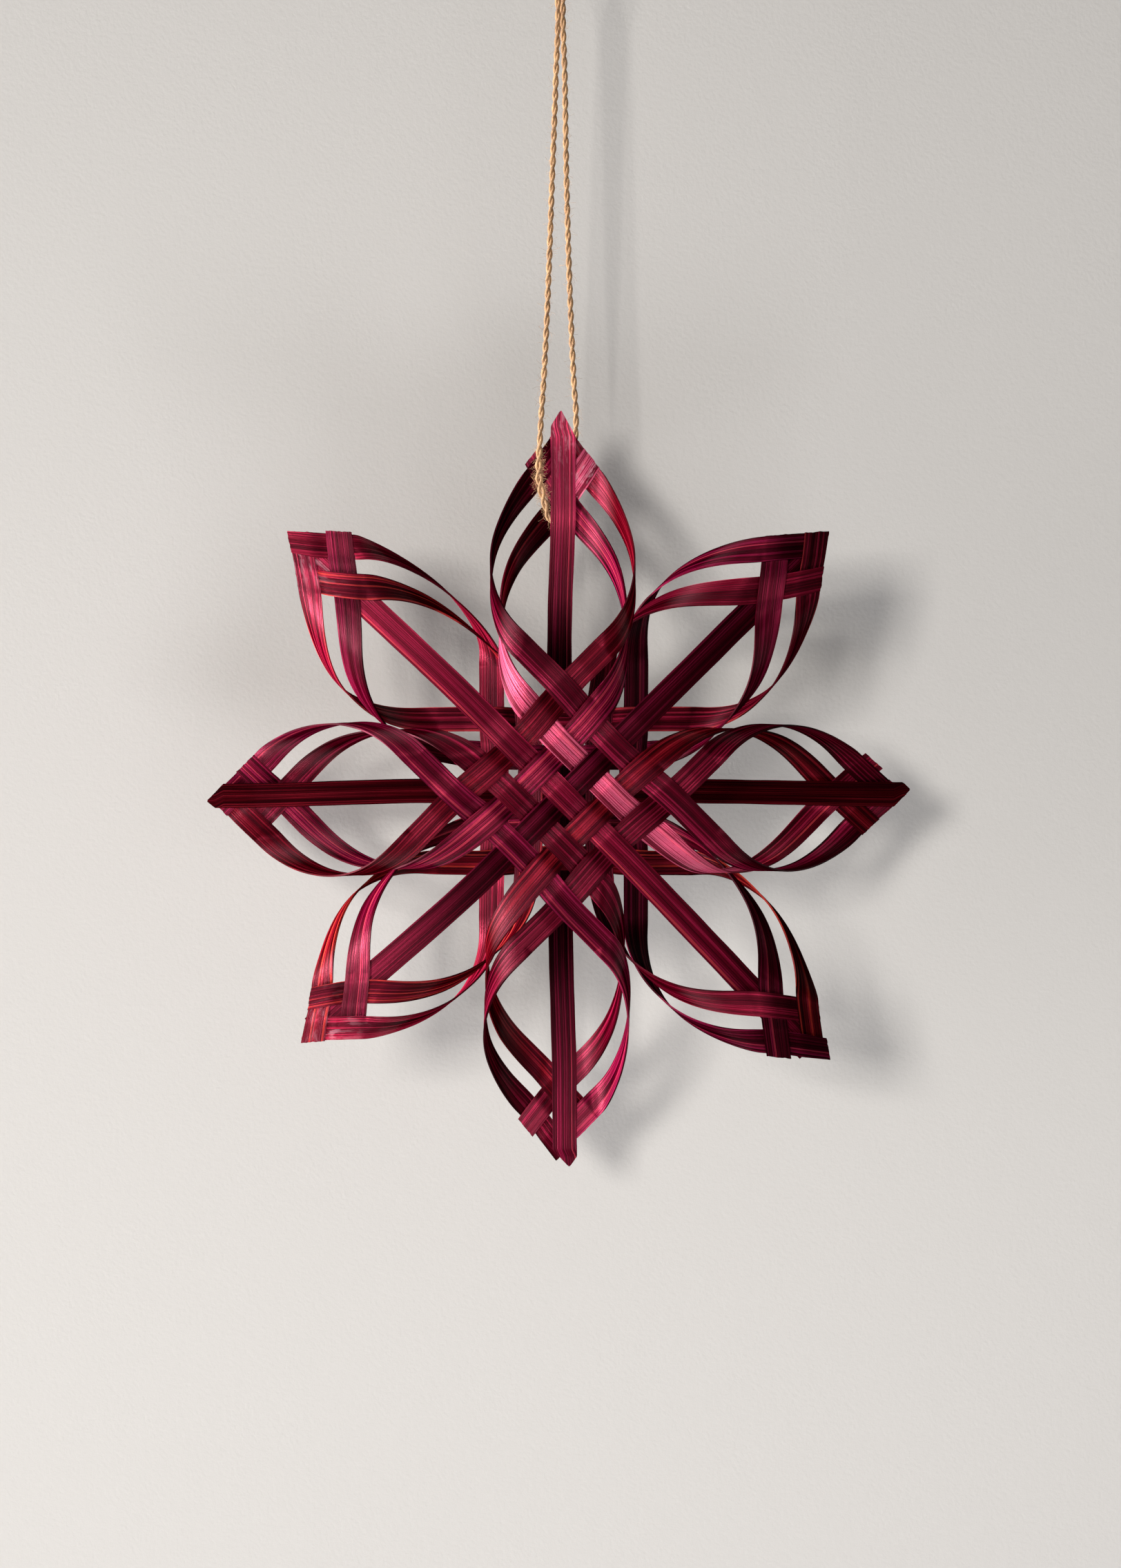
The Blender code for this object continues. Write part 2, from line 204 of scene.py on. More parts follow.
# A strip under the first length is a straight one. Share of a straight and of a looped strip
# where the tone of its middle begins, share over which it fades, reach and fade of the tone of
# an end, and reach and least tone of wear
LONGEST_STRAIGHT = 0.25
STRAIGHT_TONE_TURN = 0.34
LOOPED_TONE_TURN = 0.42
TONE_FADE = 0.24
END_TONE_REACH = 0.017
END_TONE_FADE = 0.005
WEAR_REACH = 0.030
WEAR_TONE = 1.2

# Patterns of the dyed fibre: waves per millimetre along and across, layer, detail, roughness
FINE_FIBRES = (0.012, 2.3, 1.0, 3.0, 0.60)
RIB_WANDER = (0.007, 0.45, 7.0, 2.0, 0.50)
GROOVE_FADING = (0.030, 1.10, 13.0, 2.0, 0.50)
FLECKS = (0.75, 7.5, 11.0, 2.0, 0.6)
CLOUDS = (0.045, 0.16, 17.0, 2.0, 0.5)
WORN_PATCHES = (0.16, 0.55, 23.0, 4.0, 0.65)

# Ribs of the bamboo: how many to a millimetre, how many of them they wander, how many they
# shift from strip to strip, and how far each is uneven along its length
RIBS_PER_MM = 1.55
RIBS_WANDERED = 2.6
RIBS_SHIFTED = 31.0
RIB_UNEVENNESS = 2.2

# Where each part of the pattern begins and where it is full, on the scale that it is read from
GROOVE_IN_RIB = (0.17, 0.07)
GROOVE_STRETCHES = (0.34, 0.56)
MAIN_DYE_RIBS = (0.05, 0.45)
BRIGHT_DYE_RIBS = (0.50, 0.90)
WARM_RIBS = (0.90, 0.92)
WARM_STRETCHES = (0.36, 0.55)
SPECKED_FLECKS = (0.58, 0.68)
SPECKED_CLOUDS = (0.35, 0.60)
LIGHT_CLOUDS = (0.30, 0.70)
# Where the painted pink sheen begins and is full, by tone and by rib
PAINTED_SHEEN_TONES = (1.8, 3.2)
PAINTED_SHEEN_RIBS = (0.0, 0.6)
WORN_THROUGH = (0.50, 0.62)
DULL_RIBS = (0.9, 0.1)
GLOSSY_FACING = (0.62, 0.18)

# How much of each colour is laid on, how light a dark cloud is and what a light one adds, the
# least blue that a strip has by chance, the pink of the painted sheen, and the pink of worn patches
WARM_FIBRE_SHARE = 0.85
GROOVE_SHARE = 0.92
SPECK_SHARE = 0.6
PAINTED_SHEEN_SHARE = 0.75
WORN_SHARE = 0.7
CLOUD_LEAST = 0.75
CLOUD_SHARE = 0.5
BLUE_LEAST = 0.5
PAINTED_SHEEN_PINK = (0.420, 0.080, 0.145, 1.0)
WORN_PINK = (0.400, 0.200, 0.240, 1.0)

# How far fine fibres and flecks stand up from the surface, and how far grooves lie under it
FIBRE_LIFT = 0.7
FLECK_LIFT = 0.22
GROOVE_DEPTH = 0.45

# Roughness of a bright rib, and what a dark rib, a groove or speck, and a worn patch add
BASE_ROUGHNESS = 0.33
DARK_RIB_ROUGHNESS = 0.20
GROOVE_ROUGHNESS = 0.38
WORN_ROUGHNESS = 0.12

# Gloss across the fibre: how far it is drawn out and turned, strength at full tone, the tone
# it stops growing at, its plain value where nothing varies it, its colour, and the height of
# the relief that breaks it
DRAWN_OUT = 0.90
QUARTER_TURN = 0.25
GLOSS = 0.45
GLOSS_TONE = 1.6
PLAIN_GLOSS = 0.30
GLOSS_TINT = (1.0, 0.09, 0.20, 1.0)
FIBRE_RELIEF = 0.00016

# Ridges of the strips: metres along for one wave of them, and their pattern on those waves
RIDGE_WAVE_LENGTH = 0.060
RIDGES = (1.0, 1.0, 4.0, 1.0, 0.5)

# Patterns of the jute, as for the dyed fibre, slant of its fibres, where light ones begin and
# are full, how much blotches change that, and how much lighter loose fibres are
JUTE_FIBRES = (0.45, 3.2, 3.0, 3.0, 0.6)
JUTE_BLOTCHES = (0.09, 0.2, 9.0, 2.0, 0.5)
JUTE_SLANT = 0.55
LIGHT_JUTE = (0.30, 0.66)
BLOTCH_SHARE = 0.7
LOOSE_LIGHTNESS = 1.25

# Twine: the radius of a ply and its offset from the middle, for the twine and for the knot, the
# steps along a ply and along the route, the girth of a ply on the UV map, where it is folded in two,
# how a ply's thickness wanders, and its sides
PLY = (0.00050, 0.00042)
KNOT_PLY = (0.00030, 0.00022)
PLY_STEP = 0.00045
ROUTE_STEP = 0.0010
PLY_GIRTH = 0.0040
PLY_WAVES = 160.0
PLY_LEAST = 0.86
PLY_UNEVENNESS = 0.30
PLY_SIDES = 10

# Swollen place on the left of the twine and tuft of loose fibres: height above the middle of
# the star and spread, how much it swells, and how far left of the middle the left strand is
SWELL = (0.0915, 0.013)
SWELL_SHARE = 0.70
TUFT = (0.0900, 0.017)
LEFT_STRAND = 0.003

# Loose fibres: arc of one that is one unit long, its sides and its steps, how far it is
# turned, its least and greatest length in hair lengths, radius, how many to a square metre,
# share of them outside the tuft, and share of the tuft on the right strand
HAIR_ARC = ((0.0, 0.0, -0.06), (0.18, 0.0, 0.42), (0.78, 0.12, 0.50))
HAIR_SIDES = 3
HAIR_STEPS = 5
HAIR_TURN = Vector((0.5, 0.5, pi))
HAIR_LENGTHS = (0.30, 1.25)
HAIR_RADIUS = 0.000022
HAIR_DENSITY = 5500000.0
HAIR_SHARE = 0.12
RIGHT_TUFT = 0.2

# Knot: its middle from the middle of the star, turns, height, radius, how much wider than deep
# it is, and steps along it
KNOT_MIDDLE = Vector((0.0013, 0.0262, 0.0854))
KNOT_TURNS = 3.0
KNOT_HEIGHT = 0.0034
KNOT_RADIUS = 0.00115
KNOT_WIDENING = 1.15
KNOT_STEPS = 72

# Stage: half the width of wall and floor, height of the wall, depth of the floor, and how far
# under the middle of the star the floor lies
STAGE_HALF_WIDTH = 2.2
WALL_HEIGHT = 3.0
FLOOR_DEPTH = 3.6
FLOOR_DROP = 0.62

# Lights: direction from the star, distance, what they face from the middle of the star,
# width and height, power in watts and colour. The rim light shines on the star alone
Light = namedtuple("Light", "name direction distance target size power colour")
LIGHTS = (
    Light("key", (-0.275, -1.0, 0.125), 1.20, (0, 0, 0), (0.18, 0.18), 8.1, (1.0, 0.97, 0.92)),
    Light("low_fill", (0.16, -0.70, -0.60), 0.95, (0.05, 0.08, -0.26), (0.5, 0.5), 5.3, (0.99, 1.0, 1.03)),
    Light("left_softbox", (-1.05, -0.30, -0.24), 1.1, (0, 0, 0), (0.7, 0.7), 7.0, (1.0, 0.99, 0.985)),
)
RIM_PLACE = Vector((-0.42, -0.05, 0.03))
RIM_SIZE = (0.12, 0.5)
RIM_POWER = 8.5
RIM_COLOUR = (1.0, 0.97, 1.0)
WORLD_COLOUR = (0.93, 0.95, 1.0, 1.0)
WORLD_STRENGTH = 0.08

# Camera: lens and sensor in millimetres, what it faces from the middle of the star, and the
# nearest and the farthest that it sees
CAMERA_LENS = 63.4
CAMERA_SENSOR = 36.0
CAMERA_TARGET = Vector((-0.0010, 0.0, 0.0028))
CAMERA_NEAR = 0.01
CAMERA_FAR = 20.0

# Route of the twine from the middle of the star, as the solid follows it
TWINE_ROUTE = (
    (0.0012, 0.0264, 0.0856),
    (0.0011, 0.0264, 0.0815),
    (0.0009, 0.0254, 0.0783),
    (0.0005, 0.0235, 0.0770),
    (-0.0004, 0.0216, 0.0773),
    (-0.0020, 0.0207, 0.0785),
    (-0.0042, 0.0205, 0.0806),
    (-0.0054, 0.0201, 0.0843),
    (-0.0063, 0.0199, 0.0875),
    (-0.0071, 0.0199, 0.0912),
    (-0.0074, 0.0200, 0.0960),
    (-0.0071, 0.0202, 0.1035),
    (-0.0067, 0.0205, 0.1110),
    (-0.0060, 0.0209, 0.1210),
    (-0.0046, 0.0214, 0.1500),
    (-0.0035, 0.0218, 0.1800),
    (-0.0024, 0.0221, 0.2100),
    (-0.0019, 0.0222, 0.2360),
    (-0.0026, 0.0222, 0.2410),
    (-0.0042, 0.0222, 0.2457),
    (-0.0036, 0.0222, 0.2496),
    (-0.0010, 0.0222, 0.2512),
    (0.0016, 0.0222, 0.2496),
    (0.0022, 0.0222, 0.2457),
    (0.0006, 0.0222, 0.2410),
    (-0.0001, 0.0222, 0.2360),
    (0.0003, 0.0224, 0.2100),
    (0.0008, 0.0228, 0.1800),
    (0.0017, 0.0234, 0.1500),
    (0.0030, 0.0242, 0.1210),
    (0.0036, 0.0247, 0.1120),
    (0.0034, 0.0250, 0.1040),
    (0.0026, 0.0252, 0.0960),
    (0.0018, 0.0256, 0.0900),
    (0.0014, 0.0260, 0.0866),
)


# Settings of the sidebar panel
class StripSettings(bpy.types.PropertyGroup):
    """Sizes and dyes of the bamboo strips"""

    thickness: bpy.props.FloatProperty(
        name="Strip thickness", description="Thickness of a strip", default=0.00046, unit="LENGTH")
    ridge_height: bpy.props.FloatProperty(
        name="Ridge height", description="Height of the fibre ridges", default=0.00010, unit="LENGTH")
    ridge_spacing: bpy.props.FloatProperty(
        name="Ridge spacing", description="Distance between fibre ridges", default=0.00085, unit="LENGTH")
    dark_dye: bpy.props.FloatVectorProperty(
        name="Dark dye", description="Dye that has gathered in the grooves", size=3,
        default=(0.012, 0.0001, 0.0010), subtype="COLOR")
    main_dye: bpy.props.FloatVectorProperty(
        name="Main dye", description="Burgundy of the strips", size=3,
        default=(0.050, 0.0004, 0.0040), subtype="COLOR")
    bright_dye: bpy.props.FloatVectorProperty(
        name="Bright dye", description="Crimson of the raised fibres", size=3,
        default=(0.150, 0.0050, 0.0200), subtype="COLOR")
    warm_fibre: bpy.props.FloatVectorProperty(
        name="Warm fibre", description="Orange red of single fibres", size=3,
        default=(0.270, 0.0220, 0.0260), subtype="COLOR")


class TwineSettings(bpy.types.PropertyGroup):
    """Sizes and colours of the jute twine"""

    twist: bpy.props.FloatProperty(
        name="Twist", description="Length of one full turn of the plies", default=0.0078, unit="LENGTH")
    hair_length: bpy.props.FloatProperty(
        name="Hair length", description="Length of the loose fibres", default=0.0022, unit="LENGTH")
    light_jute: bpy.props.FloatVectorProperty(
        name="Light jute", description="Colour of the outer fibres", size=3,
        default=(0.400, 0.226, 0.095), subtype="COLOR")
    dark_jute: bpy.props.FloatVectorProperty(
        name="Dark jute", description="Colour between the fibres", size=3,
        default=(0.095, 0.040, 0.016), subtype="COLOR")


class StageSettings(bpy.types.PropertyGroup):
    """Wall, floor and camera"""

    wall_gap: bpy.props.FloatProperty(
        name="Wall gap", description="From the middle of the star to the wall",
        default=0.085, unit="LENGTH")
    camera_distance: bpy.props.FloatProperty(
        name="Camera distance", description="From the camera to the middle of the star",
        default=0.800, unit="LENGTH")
    camera_tilt: bpy.props.FloatProperty(
        name="Camera tilt", description="How far the camera looks down", default=radians(1.9),
        unit="ROTATION")
    wall_colour: bpy.props.FloatVectorProperty(
        name="Wall colour", description="Warm grey of the wall", size=3,
        default=(0.66, 0.640, 0.620), subtype="COLOR")


# Course of the strips
def smooth(value):
    """Smooth step from 0 to 1."""
    value = min(max(value, 0.0), 1.0)
    return value * value * (3.0 - 2.0 * value)


def weave_wave(distance, pitch):
    """Rise and fall of a woven strip, 1 at a crossing and -1 at the next, with flat tops."""
    return tanh(WEAVE_SQUARENESS * cos(pi * distance / pitch)) / tanh(WEAVE_SQUARENESS)


def settle(distance):
    """1 at the last crossing and down to 0 where the strip lies in its plane again."""
    return 1.0 - smooth((distance - SETTLE_START) / SETTLE_LENGTH)


def petal_towards(heading):
    """The petal that points in a direction."""
    return next(petal for petal in PETALS if petal.heading == heading % 360)


def in_star(petal, sideways, outwards, depth):
    """A point given along and across a petal's axis, at its place in the part."""
    lean = petal.lean * smooth((outwards - MAT_CORNER) / (petal.reach - MAT_CORNER))
    angle = radians(petal.heading)
    across = sideways + lean
    along = outwards + CORNER_SLACK * smooth((outwards - SLACK_START) / SLACK_LENGTH)
    x = along * cos(angle) + across * sin(angle)
    z = along * sin(angle) - across * cos(angle)
    return STAR_CENTRE + Vector((x, depth, z))


def drawn_in(petal, sideways, outwards):
    """A point of the weave with the petal narrowed and stretched towards its tip."""
    share = smooth((outwards + petal.stretch - petal.reach + NARROWING_START) / NARROWING_LENGTH)
    narrowing = petal.narrow_right if sideways > 0 else petal.narrow_left
    return sideways * (1.0 - narrowing * share), outwards + petal.stretch * share


def tip_crossings(petal):
    """How far out the outer and the inner strips cross on the axis of a petal."""
    past_weave = petal.point.past_weave if petal.point else 0.0
    outer = petal.reach - CORNER_SLACK - petal.stretch - past_weave - HALF_WIDTH * sqrt(2)
    return outer, outer - TIP_PITCH * sqrt(2)


def loop_section(start, belly, landing, start_depth, belly_depth, end_depth):
    """Side of a petal seen along its axis: two quarter ellipses that meet at the belly."""
    outline = []
    half = LOOP_STEPS // 2
    for step in range(LOOP_STEPS + 1):
        turn = pi / 2 * step / half
        flat = start if step <= half else landing
        rise = belly_depth - start_depth if step <= half else end_depth - belly_depth
        width = belly - flat
        travel = Vector((width * cos(turn), rise * sin(turn))).normalized()
        outline.append((flat + width * sin(turn), belly_depth - rise * cos(turn), travel))
    return outline


def loop_stations(start, belly, end, outline):
    """Centre and cross direction of a strip that winds round the side of a petal."""
    half = LOOP_STEPS // 2
    lengths = [0.0]
    for before, after in zip(outline, outline[1:]):
        lengths.append(lengths[-1] + hypot(after[0] - before[0], after[1] - before[1]))
    quarters = (lengths[half], lengths[-1] - lengths[half])
    means = ((belly - start) / quarters[0], (end - belly) / quarters[1])
    belly_slope = (means[0] + means[1]) / 2
    stations = []
    for step, (sideways, depth, travel) in enumerate(outline):
        quarter = 0 if step <= half else 1
        length = quarters[quarter]
        share = (lengths[step] - quarter * quarters[0]) / length
        first, last = ((1.0, belly_slope), (belly_slope, 1.0))[quarter]
        bulge = means[quarter] - (first + last) / 2
        slope = first + (last - first) * share + 6 * bulge * share * (1 - share)
        outwards = (start, belly)[quarter] + length * (
            first * share + (last - first) * share ** 2 / 2 + bulge * share ** 2 * (3 - 2 * share))
        scale = 1 / hypot(1, slope)
        across = Vector((-slope * scale * travel.x, scale, -slope * scale * travel.y))
        stations.append((Vector((sideways, outwards, depth)), across))
    return stations


def even_steps(start, end):
    """Distances from start to end, close enough together to show the weave's curve."""
    count = max(ceil((end - start) / FINE_STEP), 1)
    return [start + (end - start) * step / count for step in range(count + 1)]


def looped_half(petal, side, place, mat, middle_in_front):
    """Edges of a looped strip from its middle to its end, as pairs of points."""
    rank = 1 if place is INNER else 0
    slant = 1 / sqrt(2)
    tip_depth = MAT_DEPTH + TIP_BEHIND_MAT
    bulges = ((petal.left, petal.inner_left), (petal.right, petal.inner_right))
    belly = bulges[1 if side > 0 else 0][rank]
    step_in = rank * WEAVE_PITCH * slant
    last_crossing = Vector((step_in, MAT_CORNER - step_in, -MAT_DEPTH))
    out = Vector((slant, slant, 0.0))
    home = Vector((-slant, slant, 0.0))
    edges = []

    def add(centre, across, lift):
        """Add the two edge points of a station, lifted towards the viewer by the weave."""
        pair = []
        for half_width in (-HALF_WIDTH, HALF_WIDTH):
            point = centre + across * half_width
            depth = -mat * point.z - lift
            pair.append(in_star(petal, *drawn_in(petal, point.x * side, point.y), depth))
        edges.append(pair)

    bend_past = (place.bend - last_crossing.x) / slant
    flat_end = min(LAST_CROSSING + HALF_WIDTH, LAST_CROSSING + bend_past)
    for distance in even_steps(0.0, flat_end):
        wave = middle_in_front * weave_wave(distance, WEAVE_PITCH)
        add(last_crossing + out * (distance - LAST_CROSSING), home, wave * WEAVE_RISE)

    bend = last_crossing + out * bend_past
    landing = Vector((place.landing, tip_crossings(petal)[rank] - place.landing, tip_depth))
    first_tip_crossing = landing.x / slant - (1 - rank) * TIP_PITCH
    tip_in_front = side * (1 if rank else -1)
    past_mat = bend_past - HALF_WIDTH
    if past_mat > FINE_STEP:
        for distance in even_steps(flat_end, LAST_CROSSING + bend_past)[1:-1]:
            wave = middle_in_front * settle(distance - LAST_CROSSING)
            add(last_crossing + out * (distance - LAST_CROSSING), home, wave * WEAVE_RISE)

    outline = loop_section(bend.x, belly, landing.x, -MAT_DEPTH, place.belly_depth, tip_depth)
    belly_out = last_crossing.y + place.belly_share * (tip_crossings(petal)[rank] - last_crossing.y)
    for centre, across in loop_stations(bend.y, belly_out, landing.y, outline):
        past = (centre - last_crossing).length
        before = (centre - landing).length + first_tip_crossing
        lift = middle_in_front * settle(past) * WEAVE_RISE + tip_in_front * settle(before) * TIP_RISE
        add(centre, across, lift)

    end = TIP_PITCH + HALF_WIDTH + LONG_ENDS.get((petal.heading, side, place.name), END_OVERHANG)
    for distance in even_steps(-first_tip_crossing, end)[1:]:
        if distance < -HALF_WIDTH:
            wave = tip_in_front * settle(-distance)
        else:
            wave = tip_in_front * weave_wave(min(distance, TIP_PITCH + HALF_WIDTH), TIP_PITCH)
        add(landing + home * (first_tip_crossing + distance), out, wave * TIP_RISE)
    return edges


def middle_half(petal, mat, middle_in_front, bow):
    """Edges of a straight middle strip from its middle to its tip, as pairs of points."""
    mat_end = LAST_CROSSING + HALF_WIDTH
    if petal.point:
        tip = petal.reach - CORNER_SLACK
        cuts = (petal.point.left_cut, petal.point.right_cut)
    else:
        tip = tip_crossings(petal)[0] + petal.stretch
        cuts = (0.0, 0.0)
    distances = even_steps(0.0, tip)
    edges = []
    for distance in distances:
        if distance <= mat_end:
            wave = middle_in_front * weave_wave(distance, WEAVE_PITCH)
        else:
            wave = middle_in_front * settle(distance - LAST_CROSSING)
        shift = bow * smooth((distance - mat_end) / BOW_RISE)
        shift *= 1.0 - smooth((distance - BOW_PEAK) / BOW_FALL)
        shift += petal.swing * (distance - mat_end) / (tip - mat_end) if distance > mat_end else 0.0
        depth = mat * MAT_DEPTH - wave * WEAVE_RISE
        if petal.heading == TWINE_HEADING:
            depth -= TWINE_PASS_LIFT * smooth(1.0 - abs(distance - TWINE_PASS) / TWINE_PASS_REACH)
        pair = []
        for way, cut in zip((-1, 1), cuts):
            edge = way * HALF_WIDTH
            if cut and distance > tip - cut:
                apex = petal.point.apex + way * POINT_WIDTH / 2
                edge = apex + (edge - apex) * (tip - distance) / cut
            pair.append(in_star(petal, shift + edge, distance, depth))
        edges.append(pair)
    return edges


def strip_edges(direction, number):
    """Edges of a whole strip, from its near end through the mat to its far end."""
    odd = number % 2 == 0
    middle_in_front = 1 if odd == direction.odd_in_front else -1
    halves = []
    for facing in (1, -1):
        heading = direction.heading + (0 if facing > 0 else 180)
        from_left = number if facing > 0 else STRIPS_EACH_WAY - 1 - number
        place = (OUTER, INNER, None, INNER, OUTER)[from_left]
        if place is None:
            petal = petal_towards(heading)
            halves.append(middle_half(petal, direction.mat, middle_in_front, direction.bow * facing))
        else:
            side = 1 if from_left < STRIPS_EACH_WAY // 2 else -1
            petal = petal_towards(heading + PETAL_TURN * side)
            halves.append(looped_half(petal, side, place, direction.mat, middle_in_front))
    far, near = halves
    if (far[0][1] - far[0][0]).dot(near[0][1] - near[0][0]) < 0:
        near = [pair[::-1] for pair in near]
    return near[:0:-1] + far


# Shader trees and materials
def fill(tree, node, inputs):
    """Fill a node's inputs with values or other nodes' sockets."""
    for key, value in inputs.items():
        if isinstance(value, bpy.types.NodeSocket):
            tree.links.new(value, node.inputs[key])
        else:
            node.inputs[key].default_value = value


def put(tree, kind, inputs=None, **settings):
    """Add a node, set its options and fill its inputs."""
    node = tree.nodes.new(kind)
    for name, value in settings.items():
        setattr(node, name, value)
    fill(tree, node, inputs or {})
    return node


def math_of(tree, operation, first, second=0.0, clamp=False):
    """The value of a Math node."""
    node = put(tree, "ShaderNodeMath", {0: first, 1: second}, operation=operation, use_clamp=clamp)
    return node.outputs[0]


def times(tree, first, second, clamp=False):
    """The product of two values."""
    return math_of(tree, "MULTIPLY", first, second, clamp)


def plus(tree, first, second, clamp=False):
    """The sum of two values."""
    return math_of(tree, "ADD", first, second, clamp)


def minus(tree, first, second):
    """The first value less the second."""
    return math_of(tree, "SUBTRACT", first, second)


def over(tree, first, second):
    """The first value divided by the second."""
    return math_of(tree, "DIVIDE", first, second)


def chance_of(tree, number):
    """A random value from 0 to 1 for each whole number."""
    return put(tree, "ShaderNodeTexWhiteNoise", {"W": number}, noise_dimensions="1D").outputs["Value"]


def join_axes(tree, x, y, z):
    """A vector from its three values."""
    return put(tree, "ShaderNodeCombineXYZ", {0: x, 1: y, 2: z}).outputs[0]


def ramp_between(tree, value, low, high):
    """0 below low and 1 above high, or 1 below high and 0 above low where low is the larger."""
    first, last = (0.0, 1.0) if low < high else (1.0, 0.0)
    node = put(tree, "ShaderNodeMapRange", {
        "Value": value, "From Min": min(low, high), "From Max": max(low, high),
        "To Min": first, "To Max": last}, interpolation_type="SMOOTHSTEP")
    return node.outputs["Result"]


def mix_colours(tree, share, first, second, blend="MIX"):
    """The colour of a Mix node."""
    node = put(tree, "ShaderNodeMix", {0: share, 6: first, 7: second}, data_type="RGBA", blend_type=blend)
    return node.outputs[2]


def stretched_noise(tree, along, across, along_scale, across_scale, layer, detail, roughness):
    """Noise on coordinates along and across a piece, stretched by a scale for each."""
    place = join_axes(tree, times(tree, along, along_scale), times(tree, across, across_scale), layer)
    return put(tree, "ShaderNodeTexNoise", {
        "Vector": place, "Scale": 1.0, "Detail": detail, "Roughness": roughness}).outputs[0]


def new_group(name, sockets, kind="ShaderNodeTree"):
    """An empty node group with named sockets, and its input and output nodes."""
    tree = bpy.data.node_groups.new(name, kind)
    for label, way, form, default in sockets:
        socket = tree.interface.new_socket(label, in_out=way, socket_type=form)
        if default is not None:
            socket.default_value = default
    return tree, tree.nodes.new("NodeGroupInput"), tree.nodes.new("NodeGroupOutput")


def dyed_fibre_and_painted_light_group():
    """Colour with painted light, shade and sheen, roughness and relief of dyed bamboo, on millimetres along
    and across.
    """
    tree, inlet, outlet = new_group("dyed_bamboo_fibre", (
        ("Along", "INPUT", "NodeSocketFloat", 0.0),
        ("Across", "INPUT", "NodeSocketFloat", 0.0),
        ("Dark dye", "INPUT", "NodeSocketColor", (0.02, 0.0, 0.0, 1.0)),
        ("Main dye", "INPUT", "NodeSocketColor", (0.1, 0.0, 0.0, 1.0)),
        ("Bright dye", "INPUT", "NodeSocketColor", (0.2, 0.0, 0.0, 1.0)),
        ("Warm fibre", "INPUT", "NodeSocketColor", (0.4, 0.0, 0.0, 1.0)),
        ("Dye and light tone", "INPUT", "NodeSocketFloat", 1.0),
        ("Worn end", "INPUT", "NodeSocketFloat", 0.0),
        ("Colour", "OUTPUT", "NodeSocketColor", None),
        ("Roughness", "OUTPUT", "NodeSocketFloat", None),
        ("Relief", "OUTPUT", "NodeSocketFloat", None),
    ))
    along, across = inlet.outputs["Along"], inlet.outputs["Across"]
    dark, dye_and_light_tone = inlet.outputs["Dark dye"], inlet.outputs["Dye and light tone"]
    chance = chance_of(tree, math_of(tree, "ROUND", over(tree, across, UV_ROW * MILLIMETRES)))
    fine = stretched_noise(tree, along, across, *FINE_FIBRES)
    wander = stretched_noise(tree, along, across, *RIB_WANDER)
    fading = stretched_noise(tree, along, across, *GROOVE_FADING)
    flecks = stretched_noise(tree, along, across, *FLECKS)
    clouds = stretched_noise(tree, along, across, *CLOUDS)

    # Ribs, the grooves between them and how bright each rib is along its length
    counted = plus(tree, times(tree, across, RIBS_PER_MM), times(tree, wander, RIBS_WANDERED))
    shifted = plus(tree, counted, times(tree, chance, RIBS_SHIFTED))
    rib_chance = chance_of(tree, math_of(tree, "FLOOR", shifted))
    share = math_of(tree, "FRACT", shifted)
    inside = math_of(tree, "MINIMUM", share, minus(tree, 1.0, share))
    grooves = times(tree, ramp_between(tree, inside, *GROOVE_IN_RIB),
                    ramp_between(tree, fading, *GROOVE_STRETCHES))
    lively = plus(tree, rib_chance, times(tree, minus(tree, fine, 0.5), RIB_UNEVENNESS))
    body = mix_colours(tree, ramp_between(tree, lively, *MAIN_DYE_RIBS), dark, inlet.outputs["Main dye"])
    bright = ramp_between(tree, lively, *BRIGHT_DYE_RIBS)
    body = mix_colours(tree, bright, body, inlet.outputs["Bright dye"])
    warm = times(tree, ramp_between(tree, rib_chance, *WARM_RIBS),
                 ramp_between(tree, fine, *WARM_STRETCHES))
    body = mix_colours(tree, times(tree, warm, WARM_FIBRE_SHARE), body, inlet.outputs["Warm fibre"])
    body = mix_colours(tree, times(tree, grooves, GROOVE_SHARE), body, dark)
    specks = times(tree, ramp_between(tree, flecks, *SPECKED_FLECKS),
                   ramp_between(tree, clouds, *SPECKED_CLOUDS))
    body = mix_colours(tree, times(tree, specks, SPECK_SHARE), body, dark)
    marks = math_of(tree, "MAXIMUM", grooves, specks)

    # Lightness, partly of the dye and partly painted light and shade, bluer or redder from strip
    # to strip, a painted pink sheen on lively ribs where it is lightest, and worn at the ends
    cloudy = plus(tree, times(tree, ramp_between(tree, clouds, *LIGHT_CLOUDS), CLOUD_SHARE), CLOUD_LEAST)
    depth = times(tree, cloudy, dye_and_light_tone)
    shade = join_axes(tree, depth, depth, times(tree, depth, plus(tree, chance, BLUE_LEAST)))
    body = mix_colours(tree, 1.0, body, shade, "MULTIPLY")
    # Painted sheen: pale pink laid on lively ribs where the strip is painted lightest
    pale = times(tree, ramp_between(tree, dye_and_light_tone, *PAINTED_SHEEN_TONES), ramp_between(tree, lively, *PAINTED_SHEEN_RIBS))
    pale = times(tree, pale, minus(tree, PAINTED_SHEEN_SHARE, marks), clamp=True)
    body = mix_colours(tree, pale, body, PAINTED_SHEEN_PINK)
    patchy = stretched_noise(tree, along, across, *WORN_PATCHES)
    worn = times(tree, ramp_between(tree, patchy, *WORN_THROUGH), inlet.outputs["Worn end"])
    body = mix_colours(tree, times(tree, worn, WORN_SHARE), body, WORN_PINK)

